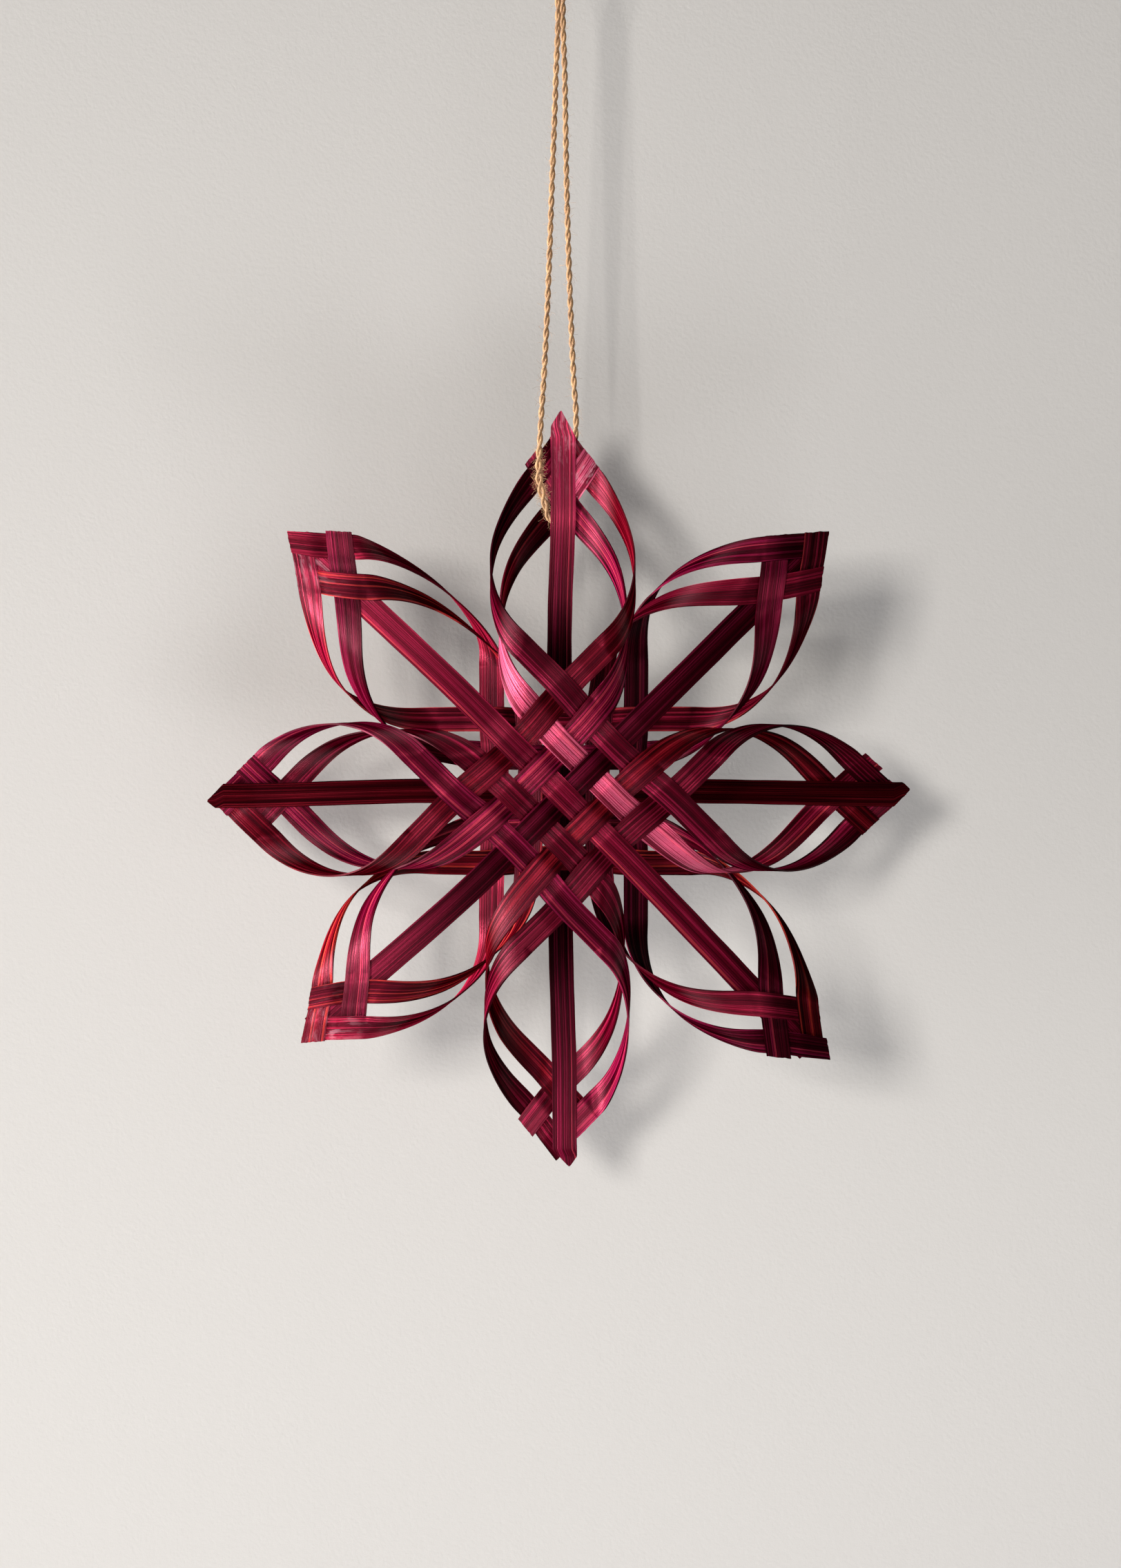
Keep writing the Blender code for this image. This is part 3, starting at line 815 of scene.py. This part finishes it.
    # Dark ribs, marks and worn patches are duller, and grooves lie deeper
    dull = times(tree, ramp_between(tree, lively, *DULL_RIBS), DARK_RIB_ROUGHNESS)
    dull = plus(tree, dull, times(tree, marks, GROOVE_ROUGHNESS))
    roughness = plus(tree, plus(tree, dull, BASE_ROUGHNESS), times(tree, worn, WORN_ROUGHNESS))
    relief = plus(tree, times(tree, fine, FIBRE_LIFT), times(tree, flecks, FLECK_LIFT))
    relief = minus(tree, relief, times(tree, grooves, GROOVE_DEPTH))
    fill(tree, outlet, {"Colour": body, "Roughness": roughness, "Relief": relief})
    return tree


def new_material(name):
    """A material with a Principled shader, and the two."""
    material = bpy.data.materials.new(name)
    material.use_nodes = True
    return material, material.node_tree, material.node_tree.nodes["Principled BSDF"]


def uv_millimetres(tree, layer):
    """Millimetres along and across a piece, from its UV map."""
    uv = put(tree, "ShaderNodeUVMap", uv_map=layer).outputs["UV"]
    parts = put(tree, "ShaderNodeSeparateXYZ", {0: uv}).outputs
    return [times(tree, parts[axis], UV_LENGTH * MILLIMETRES) for axis in (0, 1)]


def bamboo_material(name, group, settings):
    """Dyed bamboo of one direction of strips."""
    material, tree, shader = new_material(name)
    along, across = uv_millimetres(tree, "strip_uv")
    worn = put(tree, "ShaderNodeAttribute", attribute_name="worn_end").outputs["Fac"]
    dye_and_light_tone = put(tree, "ShaderNodeAttribute", attribute_name="dye_and_light_tone").outputs["Fac"]
    fibre = put(tree, "ShaderNodeGroup", node_tree=group)
    fill(tree, fibre, {
        "Along": along, "Across": across, "Dye and light tone": dye_and_light_tone, "Worn end": worn,
        "Dark dye": (*settings.dark_dye, 1.0), "Main dye": (*settings.main_dye, 1.0),
        "Bright dye": (*settings.bright_dye, 1.0), "Warm fibre": (*settings.warm_fibre, 1.0)})
    bump = put(tree, "ShaderNodeBump", {
        "Height": fibre.outputs["Relief"], "Strength": 1.0, "Distance": FIBRE_RELIEF})
    tangent = put(tree, "ShaderNodeTangent", direction_type="UV_MAP", uv_map="strip_uv")
    facing = put(tree, "ShaderNodeLayerWeight", {"Blend": 0.5}).outputs["Facing"]
    squared = math_of(tree, "POWER", math_of(tree, "MINIMUM", dye_and_light_tone, GLOSS_TONE), 2.0)
    gloss = times(tree, ramp_between(tree, facing, *GLOSSY_FACING), times(tree, squared, GLOSS))
    shader.inputs["Specular IOR Level"].default_value = PLAIN_GLOSS
    fill(tree, shader, {
        "Base Color": fibre.outputs["Colour"], "Roughness": fibre.outputs["Roughness"],
        "Normal": bump.outputs["Normal"], "Tangent": tangent.outputs["Tangent"],
        "Anisotropic": DRAWN_OUT, "Anisotropic Rotation": QUARTER_TURN,
        "Specular IOR Level": gloss, "Specular Tint": GLOSS_TINT})
    return material


def jute_material(name, settings, lightness):
    """Twisted jute fibre on the twine's own UV map."""
    material, tree, shader = new_material(name)
    along, around = uv_millimetres(tree, "twine_uv")
    slanted = plus(tree, times(tree, along, JUTE_SLANT), around)
    fibres = stretched_noise(tree, along, slanted, *JUTE_FIBRES)
    patches = stretched_noise(tree, along, around, *JUTE_BLOTCHES)
    blotches = times(tree, minus(tree, patches, 0.5), BLOTCH_SHARE)
    share = plus(tree, ramp_between(tree, fibres, *LIGHT_JUTE), blotches, clamp=True)
    dark = (*[channel * lightness for channel in settings.dark_jute], 1.0)
    light = (*[channel * lightness for channel in settings.light_jute], 1.0)
    bump = put(tree, "ShaderNodeBump", {"Height": fibres, "Strength": 0.8, "Distance": 0.00015})
    fill(tree, shader, {
        "Base Color": mix_colours(tree, share, dark, light), "Normal": bump.outputs["Normal"],
        "Roughness": 0.78, "Sheen Weight": 0.25, "Sheen Roughness": 0.5,
        "Sheen Tint": (1.0, 0.86, 0.66, 1.0)})
    return material


# Geometry trees
def add_ending(tree, inlet, outlet, geometry):
    """Make a tree's geometry real, give it the material and put it out."""
    real = put(tree, "GeometryNodeRealizeInstances", {"Geometry": geometry})
    dressed = put(tree, "GeometryNodeSetMaterial", {
        "Geometry": real.outputs[0], "Material": inlet.outputs["Material"]})
    tree.links.new(dressed.outputs[0], outlet.inputs["Geometry"])


def attribute_of(tree, name, kind="FLOAT"):
    """The values of a named attribute."""
    return put(tree, "GeometryNodeInputNamedAttribute", {"Name": name}, data_type=kind).outputs["Attribute"]


def vector_of(tree, operation, inputs):
    """The vector of a Vector Math node."""
    return put(tree, "ShaderNodeVectorMath", inputs, operation=operation).outputs[0]


def store(tree, geometry, name, value, kind="FLOAT", domain="POINT"):
    """The geometry with values kept on it under a name."""
    return put(tree, "GeometryNodeStoreNamedAttribute", {
        "Geometry": geometry, "Name": name, "Value": value}, data_type=kind, domain=domain).outputs[0]


def geometry_group(name, values):
    """An empty tree that takes a geometry, some values and a material, and gives a geometry."""
    taken = [(label, "INPUT", "NodeSocketInt" if isinstance(value, int) else "NodeSocketFloat", value)
             for label, value in values.items()]
    return new_group(name, (
        ("Geometry", "INPUT", "NodeSocketGeometry", None),
        *taken,
        ("Material", "INPUT", "NodeSocketMaterial", None),
        ("Geometry", "OUTPUT", "NodeSocketGeometry", None),
    ), "GeometryNodeTree")


def relief_tree():
    """Raises fibre ridges along a strip and gives it its material."""
    tree, inlet, outlet = geometry_group("strip_fibre_ridges", {
        "Ridge height": 0.0001, "Ridge spacing": 0.0008})
    parts = put(tree, "ShaderNodeSeparateXYZ", {0: attribute_of(tree, "strip_uv", "FLOAT_VECTOR")}).outputs
    along = times(tree, parts[0], UV_LENGTH / RIDGE_WAVE_LENGTH)
    across = over(tree, times(tree, parts[1], UV_LENGTH), inlet.outputs["Ridge spacing"])
    ridges = stretched_noise(tree, along, across, *RIDGES)
    lift = times(tree, minus(tree, ridges, 0.5), inlet.outputs["Ridge height"])
    lift = times(tree, lift, 2.0)
    normal = put(tree, "GeometryNodeInputNormal")
    raised = put(tree, "GeometryNodeSetPosition", {
        "Geometry": inlet.outputs["Geometry"],
        "Offset": vector_of(tree, "SCALE", {0: normal.outputs[0], "Scale": lift})})
    add_ending(tree, inlet, outlet, raised.outputs[0])
    return tree


def ply_tree():
    """Twists plies round a path and gives them their material."""
    tree, inlet, outlet = geometry_group("twisted_plies", {
        "Ply radius": 0.0004, "Ply offset": 0.00036, "Twist": 0.0078, "Step": 0.0004})
    path = put(tree, "GeometryNodeMeshToCurve", {"Mesh": inlet.outputs["Geometry"]})
    fine = put(tree, "GeometryNodeResampleCurve", {
        "Curve": path.outputs[0], "Length": inlet.outputs["Step"]}, mode="LENGTH")
    length = put(tree, "GeometryNodeSplineParameter").outputs["Length"]
    swell = attribute_of(tree, "swell")
    tangent = put(tree, "GeometryNodeInputTangent").outputs[0]
    normal = put(tree, "GeometryNodeInputNormal").outputs[0]
    beside = vector_of(tree, "CROSS_PRODUCT", {0: tangent, 1: normal})
    turn = times(tree, over(tree, length, inlet.outputs["Twist"]), 2 * pi)
    wander = put(tree, "ShaderNodeTexNoise", {
        "W": times(tree, length, PLY_WAVES), "Scale": 1.0, "Detail": 1.0}, noise_dimensions="1D").outputs[0]
    radius = times(tree, plus(tree, times(tree, wander, PLY_UNEVENNESS), PLY_LEAST), swell)
    joined = put(tree, "GeometryNodeJoinGeometry")
    for ply in range(2):
        angle = plus(tree, turn, ply * pi)
        reach = times(tree, inlet.outputs["Ply offset"], swell)
        first = vector_of(tree, "SCALE", {
            0: normal, "Scale": times(tree, math_of(tree, "COSINE", angle), reach)})
        second = vector_of(tree, "SCALE", {
            0: beside, "Scale": times(tree, math_of(tree, "SINE", angle), reach)})
        moved = put(tree, "GeometryNodeSetPosition", {
            "Geometry": fine.outputs[0], "Offset": vector_of(tree, "ADD", {0: first, 1: second})})
        kept = store(tree, moved.outputs[0], "along_ply", length)
        sized = put(tree, "GeometryNodeSetCurveRadius", {"Curve": kept, "Radius": radius})
        ring = put(tree, "GeometryNodeCurvePrimitiveCircle", {
            "Resolution": PLY_SIDES, "Radius": inlet.outputs["Ply radius"]}, mode="RADIUS")
        around = put(tree, "GeometryNodeSplineParameter").outputs["Factor"]
        tube = put(tree, "GeometryNodeCurveToMesh", {
            "Curve": sized.outputs[0], "Fill Caps": True,
            "Profile Curve": store(tree, ring.outputs[0], "round_ply", around)})
        tree.links.new(tube.outputs[0], joined.inputs[0])
    folded = math_of(tree, "ABSOLUTE", minus(tree, attribute_of(tree, "round_ply"), 0.5))
    place = join_axes(tree, over(tree, attribute_of(tree, "along_ply"), UV_LENGTH),
                      times(tree, folded, PLY_GIRTH / UV_LENGTH), 0.0)
    mapped = store(tree, joined.outputs[0], "twine_uv", place, "FLOAT2", "CORNER")
    rounded = put(tree, "GeometryNodeSetShadeSmooth", {"Geometry": mapped})
    add_ending(tree, inlet, outlet, rounded.outputs[0])
    return tree


def hair_tree():
    """Scatters loose fibres over the twine."""
    tree, inlet, outlet = geometry_group("loose_jute_fibres", {
        "Hair length": 0.002, "Hair radius": 0.00003, "Density": 300000.0, "Seed": 5})
    density = times(tree, inlet.outputs["Density"], attribute_of(tree, "hairiness"))
    scattered = put(tree, "GeometryNodeDistributePointsOnFaces", {
        "Mesh": inlet.outputs["Geometry"], "Density": density, "Seed": inlet.outputs["Seed"]},
        distribute_method="RANDOM")
    arc = put(tree, "GeometryNodeCurveQuadraticBezier", {
        "Resolution": HAIR_STEPS, "Start": HAIR_ARC[0], "Middle": HAIR_ARC[1], "End": HAIR_ARC[2]})
    ring = put(tree, "GeometryNodeCurvePrimitiveCircle", {
        "Resolution": HAIR_SIDES,
        "Radius": over(tree, inlet.outputs["Hair radius"], inlet.outputs["Hair length"])}, mode="RADIUS")
    fibre = put(tree, "GeometryNodeCurveToMesh", {
        "Curve": arc.outputs[0], "Profile Curve": ring.outputs[0], "Fill Caps": True})
    turned = put(tree, "FunctionNodeRandomValue", {
        0: -HAIR_TURN, 1: HAIR_TURN, 8: 3}, data_type="FLOAT_VECTOR")
    size = put(tree, "FunctionNodeRandomValue", {
        2: HAIR_LENGTHS[0], 3: HAIR_LENGTHS[1], 8: 4}, data_type="FLOAT")
    spin = put(tree, "FunctionNodeRotateEuler", {
        0: scattered.outputs["Rotation"], "Rotate By": turned.outputs[0]}, space="LOCAL")
    placed = put(tree, "GeometryNodeInstanceOnPoints", {
        "Points": scattered.outputs["Points"], "Instance": fibre.outputs[0], "Rotation": spin.outputs[0],
        "Scale": times(tree, size.outputs[1], inlet.outputs["Hair length"])})
    real = put(tree, "GeometryNodeRealizeInstances", {"Geometry": placed.outputs[0]})
    smoothed = put(tree, "GeometryNodeSetShadeSmooth", {"Geometry": real.outputs[0]})
    add_ending(tree, inlet, outlet, smoothed.outputs[0])
    return tree


def grow(thing, tree, values):
    """Put a geometry tree on an object, with its inputs set by their identifiers."""
    modifier = thing.modifiers.new(tree.name, "NODES")
    modifier.node_group = tree
    for item in tree.interface.items_tree:
        if item.item_type == "SOCKET" and item.in_out == "INPUT" and item.name in values:
            modifier[item.identifier] = values[item.name]


def set_in_mesh(thing):
    """Keep what the modifiers make as a plain mesh."""
    bpy.context.view_layer.update()
    evaluated = thing.evaluated_get(bpy.context.evaluated_depsgraph_get())
    mesh = bpy.data.meshes.new_from_object(evaluated)
    mesh.name = thing.name
    thing.modifiers.clear()
    thing.data = mesh
    return thing


def star_pieces():
    """The collection of everything that belongs to the star, for the light on it alone."""
    kept = bpy.data.collections.get("star_pieces")
    if kept is None:
        kept = bpy.data.collections.new("star_pieces")
        bpy.context.scene.collection.children.link(kept)
    return kept


def new_piece(name, mesh):
    """An object of the star for a mesh."""
    piece = bpy.data.objects.new(name, mesh)
    star_pieces().objects.link(piece)
    return piece


# Pieces of the star
def tone_at(dye_and_light_tones, share, to_end, length):
    """Lightness at a share of a strip's length, this far from the nearer end: partly dye, partly painted
    light and shade.
    """
    turn = STRAIGHT_TONE_TURN if length < LONGEST_STRAIGHT else LOOPED_TONE_TURN
    near_end, near, middle, far, far_end = dye_and_light_tones
    dye_and_light_tone = middle + (near - middle) * smooth((turn - share) / TONE_FADE)
    dye_and_light_tone += (far - middle) * smooth((share - 1.0 + turn) / TONE_FADE)
    last = near_end if share < 0.5 else far_end
    return dye_and_light_tone + (last - dye_and_light_tone) * smooth((END_TONE_REACH - to_end) / END_TONE_FADE)


def ribbon(name, edges, row, dye_and_light_tones, settings, tree, material):
    """A strip as a fine grid laid along its edges, ribbed, thickened and cut rough at the ends."""
    grid = bmesh.new()
    bmesh.ops.create_grid(grid, x_segments=len(edges) - 1, y_segments=ACROSS_STEPS, size=0.5)
    centres = [(first + second) / 2 for first, second in edges]
    travelled = [0.0]
    for before, after in zip(centres, centres[1:]):
        travelled.append(travelled[-1] + (after - before).length)
    marks = {}
    for vertex in grid.verts:
        station = round((vertex.co.x + 0.5) * (len(edges) - 1))
        share = vertex.co.y + 0.5
        first, second = edges[station]
        width = (second - first).length
        along = travelled[station]
        to_end = min(along, travelled[-1] - along)
        layer = RIGHT_EDGE_LAYER if share > 0.5 else LEFT_EDGE_LAYER
        uneven = noise.noise((along * EDGE_WAVES, row * EDGE_VARIETY, layer)) * EDGE_UNEVENNESS
        reach = (share - 0.5) * (1 + uneven / HALF_WIDTH * min(width / STRIP_WIDTH, 1.0))
        point = (first + second) / 2 + (second - first) * reach
        if station in (0, len(edges) - 1):
            neighbour = centres[1] if station == 0 else centres[-2]
            inwards = (neighbour - centres[station]).normalized()
            spot = (share * END_WAVES, row * END_VARIETY, along * END_LAYERS)
            ragged = noise.noise(spot) * END_RAGGEDNESS
            point += inwards * (ragged + END_SETBACK)
        vertex.co = point
        place = (along / UV_LENGTH, (reach * width + row * UV_ROW) / UV_LENGTH)
        # The tone is partly the strip's dye and partly painted light and shade
        dye_and_light_tone = tone_at(dye_and_light_tones, along / travelled[-1], to_end, travelled[-1])
        worn = smooth(1.0 - to_end / WEAR_REACH) * smooth(dye_and_light_tone - WEAR_TONE)
        marks[vertex.index] = (place, worn, dye_and_light_tone)
    uv_layer = grid.loops.layers.uv.new("strip_uv")
    for face in grid.faces:
        face.smooth = True
        for loop in face.loops:
            loop[uv_layer].uv = marks[loop.vert.index][0]
    wear_layer = grid.verts.layers.float.new("worn_end")
    dye_and_light_layer = grid.verts.layers.float.new("dye_and_light_tone")
    for vertex in grid.verts:
        vertex[wear_layer], vertex[dye_and_light_layer] = marks[vertex.index][1:]
    mesh = bpy.data.meshes.new(name)
    grid.to_mesh(mesh)
    grid.free()
    strip = new_piece(name, mesh)
    grow(strip, tree, {
        "Ridge height": settings.ridge_height, "Ridge spacing": settings.ridge_spacing,
        "Material": material})
    thickness = strip.modifiers.new("Thickness", "SOLIDIFY")
    thickness.thickness = settings.thickness
    thickness.offset = 0.0
    set_in_mesh(strip)
    strip.data.set_sharp_from_angle(angle=SHARP_ANGLE)
    return strip


def weave(directions, row_start):
    """Make all strips of some directions, each in the place of its solid."""
    settings = bpy.context.scene.star_strips
    tree = bpy.data.node_groups.get("strip_fibre_ridges") or relief_tree()
    group = bpy.data.node_groups.get("dyed_bamboo_fibre") or dyed_fibre_and_painted_light_group()
    for count, direction in enumerate(directions):
        slot = direction.name.replace("strip", "bamboo")
        material = bamboo_material("dyed_" + slot, group, settings)
        for number in range(STRIPS_EACH_WAY):
            node = f"{direction.name}_{number + 1}"
            row = row_start + count * STRIPS_EACH_WAY + number
            strip = ribbon("ribbed_" + node, strip_edges(direction, number), row,
                           STRIP_DYE_AND_PAINTED_LIGHT[direction.name][number], settings, tree, material)
            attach(strip, "root")
            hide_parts(node)


def smooth_route(route, spacing):
    """Points along one smooth curve through a route's points, about a spacing apart."""
    knots = [STAR_CENTRE + Vector(point) for point in route]
    directions = []
    for number, knot in enumerate(knots):
        before = knots[max(number - 1, 0)]
        after = knots[min(number + 1, len(knots) - 1)]
        directions.append(((knot - before).normalized() + (after - knot).normalized()).normalized())
    points = [knots[0]]
    for number in range(len(knots) - 1):
        start, end = knots[number], knots[number + 1]
        reach = (end - start).length / 3
        count = ceil((end - start).length / spacing) + 1
        first_handle = start + directions[number] * reach
        last_handle = end - directions[number + 1] * reach
        points += interpolate_bezier(start, first_handle, last_handle, end, count)[1:]
    return points


def path_mesh(name, points, swell):
    """A line of points as a mesh of edges, with how thick the twine is at each."""
    mesh = bpy.data.meshes.new(name)
    mesh.from_pydata(points, [(number, number + 1) for number in range(len(points) - 1)], [])
    thickness = mesh.attributes.new("swell", "FLOAT", "POINT")
    thickness.data.foreach_set("value", [swell(point) for point in points])
    return mesh


def near_height(point, height, spread):
    """1 at a height above the middle of the star and down to 0 a spread away."""
    return smooth(1.0 - abs(point.z - STAR_CENTRE.z - height) / spread)


def twist_twine(name, points, swell, settings, tree, material, ply):
    """Two plies of a radius and an offset twisted along a path."""
    piece = new_piece(name, path_mesh(name, points, swell))
    grow(piece, tree, {
        "Ply radius": ply[0], "Ply offset": ply[1], "Twist": settings.twist,
        "Step": PLY_STEP, "Material": material})
    return set_in_mesh(piece)


def knot_route():
    """A short wrapping of twine round the two ends behind the upper tip."""
    points = []
    for step in range(KNOT_STEPS + 1):
        turn = 2 * pi * KNOT_TURNS * step / KNOT_STEPS
        beside = KNOT_RADIUS * cos(turn) * KNOT_WIDENING
        height = KNOT_HEIGHT * (step / KNOT_STEPS - 0.5)
        points.append(STAR_CENTRE + KNOT_MIDDLE + Vector((beside, KNOT_RADIUS * sin(turn), height)))
    return points


class STAR_OT_front_strips(bpy.types.Operator):
    """Make the ten slanting strips of the front mat"""
    bl_idname = "star.front_strips"
    bl_label = "Front mat strips"

    def execute(self, context):
        weave(FRONT_DIRECTIONS, 1)
        return {"FINISHED"}


class STAR_OT_back_strips(bpy.types.Operator):
    """Make the ten upright and level strips of the back mat"""
    bl_idname = "star.back_strips"
    bl_label = "Back mat strips"

    def execute(self, context):
        weave(BACK_DIRECTIONS, 1 + 2 * STRIPS_EACH_WAY)
        return {"FINISHED"}


class STAR_OT_twine(bpy.types.Operator):
    """Make the jute loop, the knot behind the tip and the loose fibres"""
    bl_idname = "star.twine"
    bl_label = "Jute twine"

    def execute(self, context):
        settings = context.scene.star_twine
        jute = jute_material("twisted_jute", settings, 1.0)
        pale = jute_material("loose_jute", settings, LOOSE_LIGHTNESS)
        tree = ply_tree()
        points = smooth_route(TWINE_ROUTE, ROUTE_STEP)
        length = sum((after - before).length for before, after in zip(points, points[1:]))

        def on_left(point):
            """Whether a point lies on the left strand of the loop."""
            return point.x < STAR_CENTRE.x - LEFT_STRAND

        def swell(point):
            """How thick the twine is at a point, set against the rest of it."""
            return 1.0 + SWELL_SHARE * near_height(point, *SWELL) * on_left(point)

        def even(point):
            """The same thickness at every point."""
            return 1.0

        twine = twist_twine("hanging_jute_twine", points, swell, settings, tree, jute, PLY)
        knot = twist_twine("twine_knot", knot_route(), even, settings, tree, jute, KNOT_PLY)

        hairs = new_piece("loose_twine_fibres", twine.data.copy())
        hairiness = hairs.data.attributes.new("hairiness", "FLOAT", "POINT")
        for vertex, value in zip(hairs.data.vertices, hairiness.data):
            tuft = near_height(vertex.co, *TUFT) * (1.0 if on_left(vertex.co) else RIGHT_TUFT)
            value.value = HAIR_SHARE + tuft
        grow(hairs, hair_tree(), {
            "Hair length": settings.hair_length, "Hair radius": HAIR_RADIUS, "Density": HAIR_DENSITY,
            "Seed": 5, "Material": pale})
        set_in_mesh(hairs)
        for piece in (twine, knot, hairs):
            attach(piece, "root")
        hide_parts("hanging_twine")
        tuple(points[0])
        [tuple(point) for point in points]
        return {"FINISHED"}


def add_to_scene(name, data):
    """An object of the stage for a light, a camera or a mesh."""
    thing = bpy.data.objects.new(name, data)
    bpy.context.scene.collection.objects.link(thing)
    return thing


def area_light(name, place, target, size, power, colour):
    """A soft light that faces a point, so wide and so high."""
    data = bpy.data.lights.new(name, "AREA")
    data.shape = "RECTANGLE"
    data.size, data.size_y = size
    data.energy = power
    data.color = colour
    light = add_to_scene(name, data)
    light.location = place
    light.rotation_euler = (target - place).to_track_quat("-Z", "Y").to_euler()
    return light


def flat_stage(name, corner, side, up, material):
    """A flat backdrop from one corner and the two sides that meet there."""
    mesh = bpy.data.meshes.new(name)
    mesh.from_pydata([corner, corner + side, corner + side + up, corner + up], [], [(0, 1, 2, 3)])
    mesh.materials.append(material)
    backdrop = add_to_scene(name, mesh)


def painted_wall_material(colour):
    """Warm grey paint with a fine roller grain, seen from its front only."""
    material, tree, shader = new_material("painted_wall")
    place = put(tree, "ShaderNodeTexCoord").outputs["Object"]
    grain = put(tree, "ShaderNodeTexNoise", {"Vector": place, "Scale": 900.0, "Detail": 2.0}).outputs[0]
    bump = put(tree, "ShaderNodeBump", {"Height": grain, "Strength": 0.25, "Distance": 0.0004})
    fill(tree, shader, {
        "Base Color": (*colour, 1.0), "Roughness": 0.9, "Specular IOR Level": 0.1,
        "Normal": bump.outputs["Normal"]})
    clear = put(tree, "ShaderNodeBsdfTransparent")
    side = put(tree, "ShaderNodeNewGeometry").outputs["Backfacing"]
    either = put(tree, "ShaderNodeMixShader", {0: side, 1: shader.outputs[0], 2: clear.outputs[0]})
    tree.links.new(either.outputs[0], tree.nodes["Material Output"].inputs["Surface"])
    return material


def plain_floor_material():
    """Pale matt floor."""
    material, tree, shader = new_material("pale_floor")
    fill(tree, shader, {"Base Color": (0.80, 0.79, 0.77, 1.0), "Roughness": 0.8})
    return material


class STAR_OT_stage(bpy.types.Operator):
    """Make the wall, the floor, the lights and the camera"""
    bl_idname = "star.stage"
    bl_label = "Wall, light and camera"

    def execute(self, context):
        settings = context.scene.star_stage
        wall_y = STAR_CENTRE.y + settings.wall_gap
        floor_z = STAR_CENTRE.z - FLOOR_DROP
        width = Vector((2 * STAGE_HALF_WIDTH, 0, 0))
        flat_stage("wall", Vector((-STAGE_HALF_WIDTH, wall_y, floor_z)), width,
                   Vector((0, 0, WALL_HEIGHT)), painted_wall_material(settings.wall_colour))
        flat_stage("floor", Vector((-STAGE_HALF_WIDTH, wall_y - FLOOR_DEPTH, floor_z)), width,
                   Vector((0, FLOOR_DEPTH, 0)), plain_floor_material())

        for light in LIGHTS:
            place = STAR_CENTRE + Vector(light.direction).normalized() * light.distance
            target = STAR_CENTRE + Vector(light.target)
            area_light(light.name, place, target, light.size, light.power, light.colour)
        rim = area_light("rim_on_strips", STAR_CENTRE + RIM_PLACE, STAR_CENTRE,
                         RIM_SIZE, RIM_POWER, RIM_COLOUR)
        rim.data.use_shadow = False
        rim.light_linking.receiver_collection = star_pieces()

        world = bpy.data.worlds.new("studio")
        world.use_nodes = True
        fill(world.node_tree, world.node_tree.nodes["Background"], {
            "Color": WORLD_COLOUR, "Strength": WORLD_STRENGTH})
        context.scene.world = world

        tilt = settings.camera_tilt
        data = bpy.data.cameras.new("camera")
        data.sensor_width = CAMERA_SENSOR
        data.lens = CAMERA_LENS
        data.clip_start = CAMERA_NEAR
        data.clip_end = CAMERA_FAR
        camera = add_to_scene("camera", data)
        away = Vector((0.0, -cos(tilt), sin(tilt))) * settings.camera_distance
        camera.location = STAR_CENTRE + CAMERA_TARGET + away
        camera.rotation_euler = (pi / 2 - tilt, 0.0, 0.0)
        context.scene.camera = camera
        context.scene.view_settings.view_transform = "Standard"
        return {"FINISHED"}


class STAR_PT_panel(bpy.types.Panel):
    """Sizes and steps of the bamboo star"""
    bl_idname = "STAR_PT_panel"
    bl_label = "Bamboo star"
    bl_space_type = "VIEW_3D"
    bl_region_type = "UI"
    bl_category = "Bamboo star"

    def draw(self, context):
        layout = self.layout
        for group in (context.scene.star_strips, context.scene.star_twine, context.scene.star_stage):
            for name in group.bl_rna.properties.keys():
                if name not in ("rna_type", "name"):
                    layout.prop(group, name)
        for operator in OPERATORS:
            layout.operator(operator.bl_idname)


OPERATORS = (STAR_OT_stage, STAR_OT_twine, STAR_OT_front_strips, STAR_OT_back_strips)
CLASSES = (StripSettings, TwineSettings, StageSettings, *OPERATORS, STAR_PT_panel)


def register():
    """Register the classes and give the scene its settings."""
    for item in CLASSES:
        bpy.utils.register_class(item)
    bpy.types.Scene.star_strips = bpy.props.PointerProperty(type=StripSettings)
    bpy.types.Scene.star_twine = bpy.props.PointerProperty(type=TwineSettings)
    bpy.types.Scene.star_stage = bpy.props.PointerProperty(type=StageSettings)


def unregister():
    """Take the settings and the classes away again."""
    del bpy.types.Scene.star_strips
    del bpy.types.Scene.star_twine
    del bpy.types.Scene.star_stage
    for item in reversed(CLASSES):
        bpy.utils.unregister_class(item)


def main():
    """Make every piece in order."""
    register()
    bpy.ops.star.stage()
    bpy.ops.star.twine()
    bpy.ops.star.front_strips()
    bpy.ops.star.back_strips()
    bpy.context.view_layer.update()


if __name__ == "__main__":
    main()
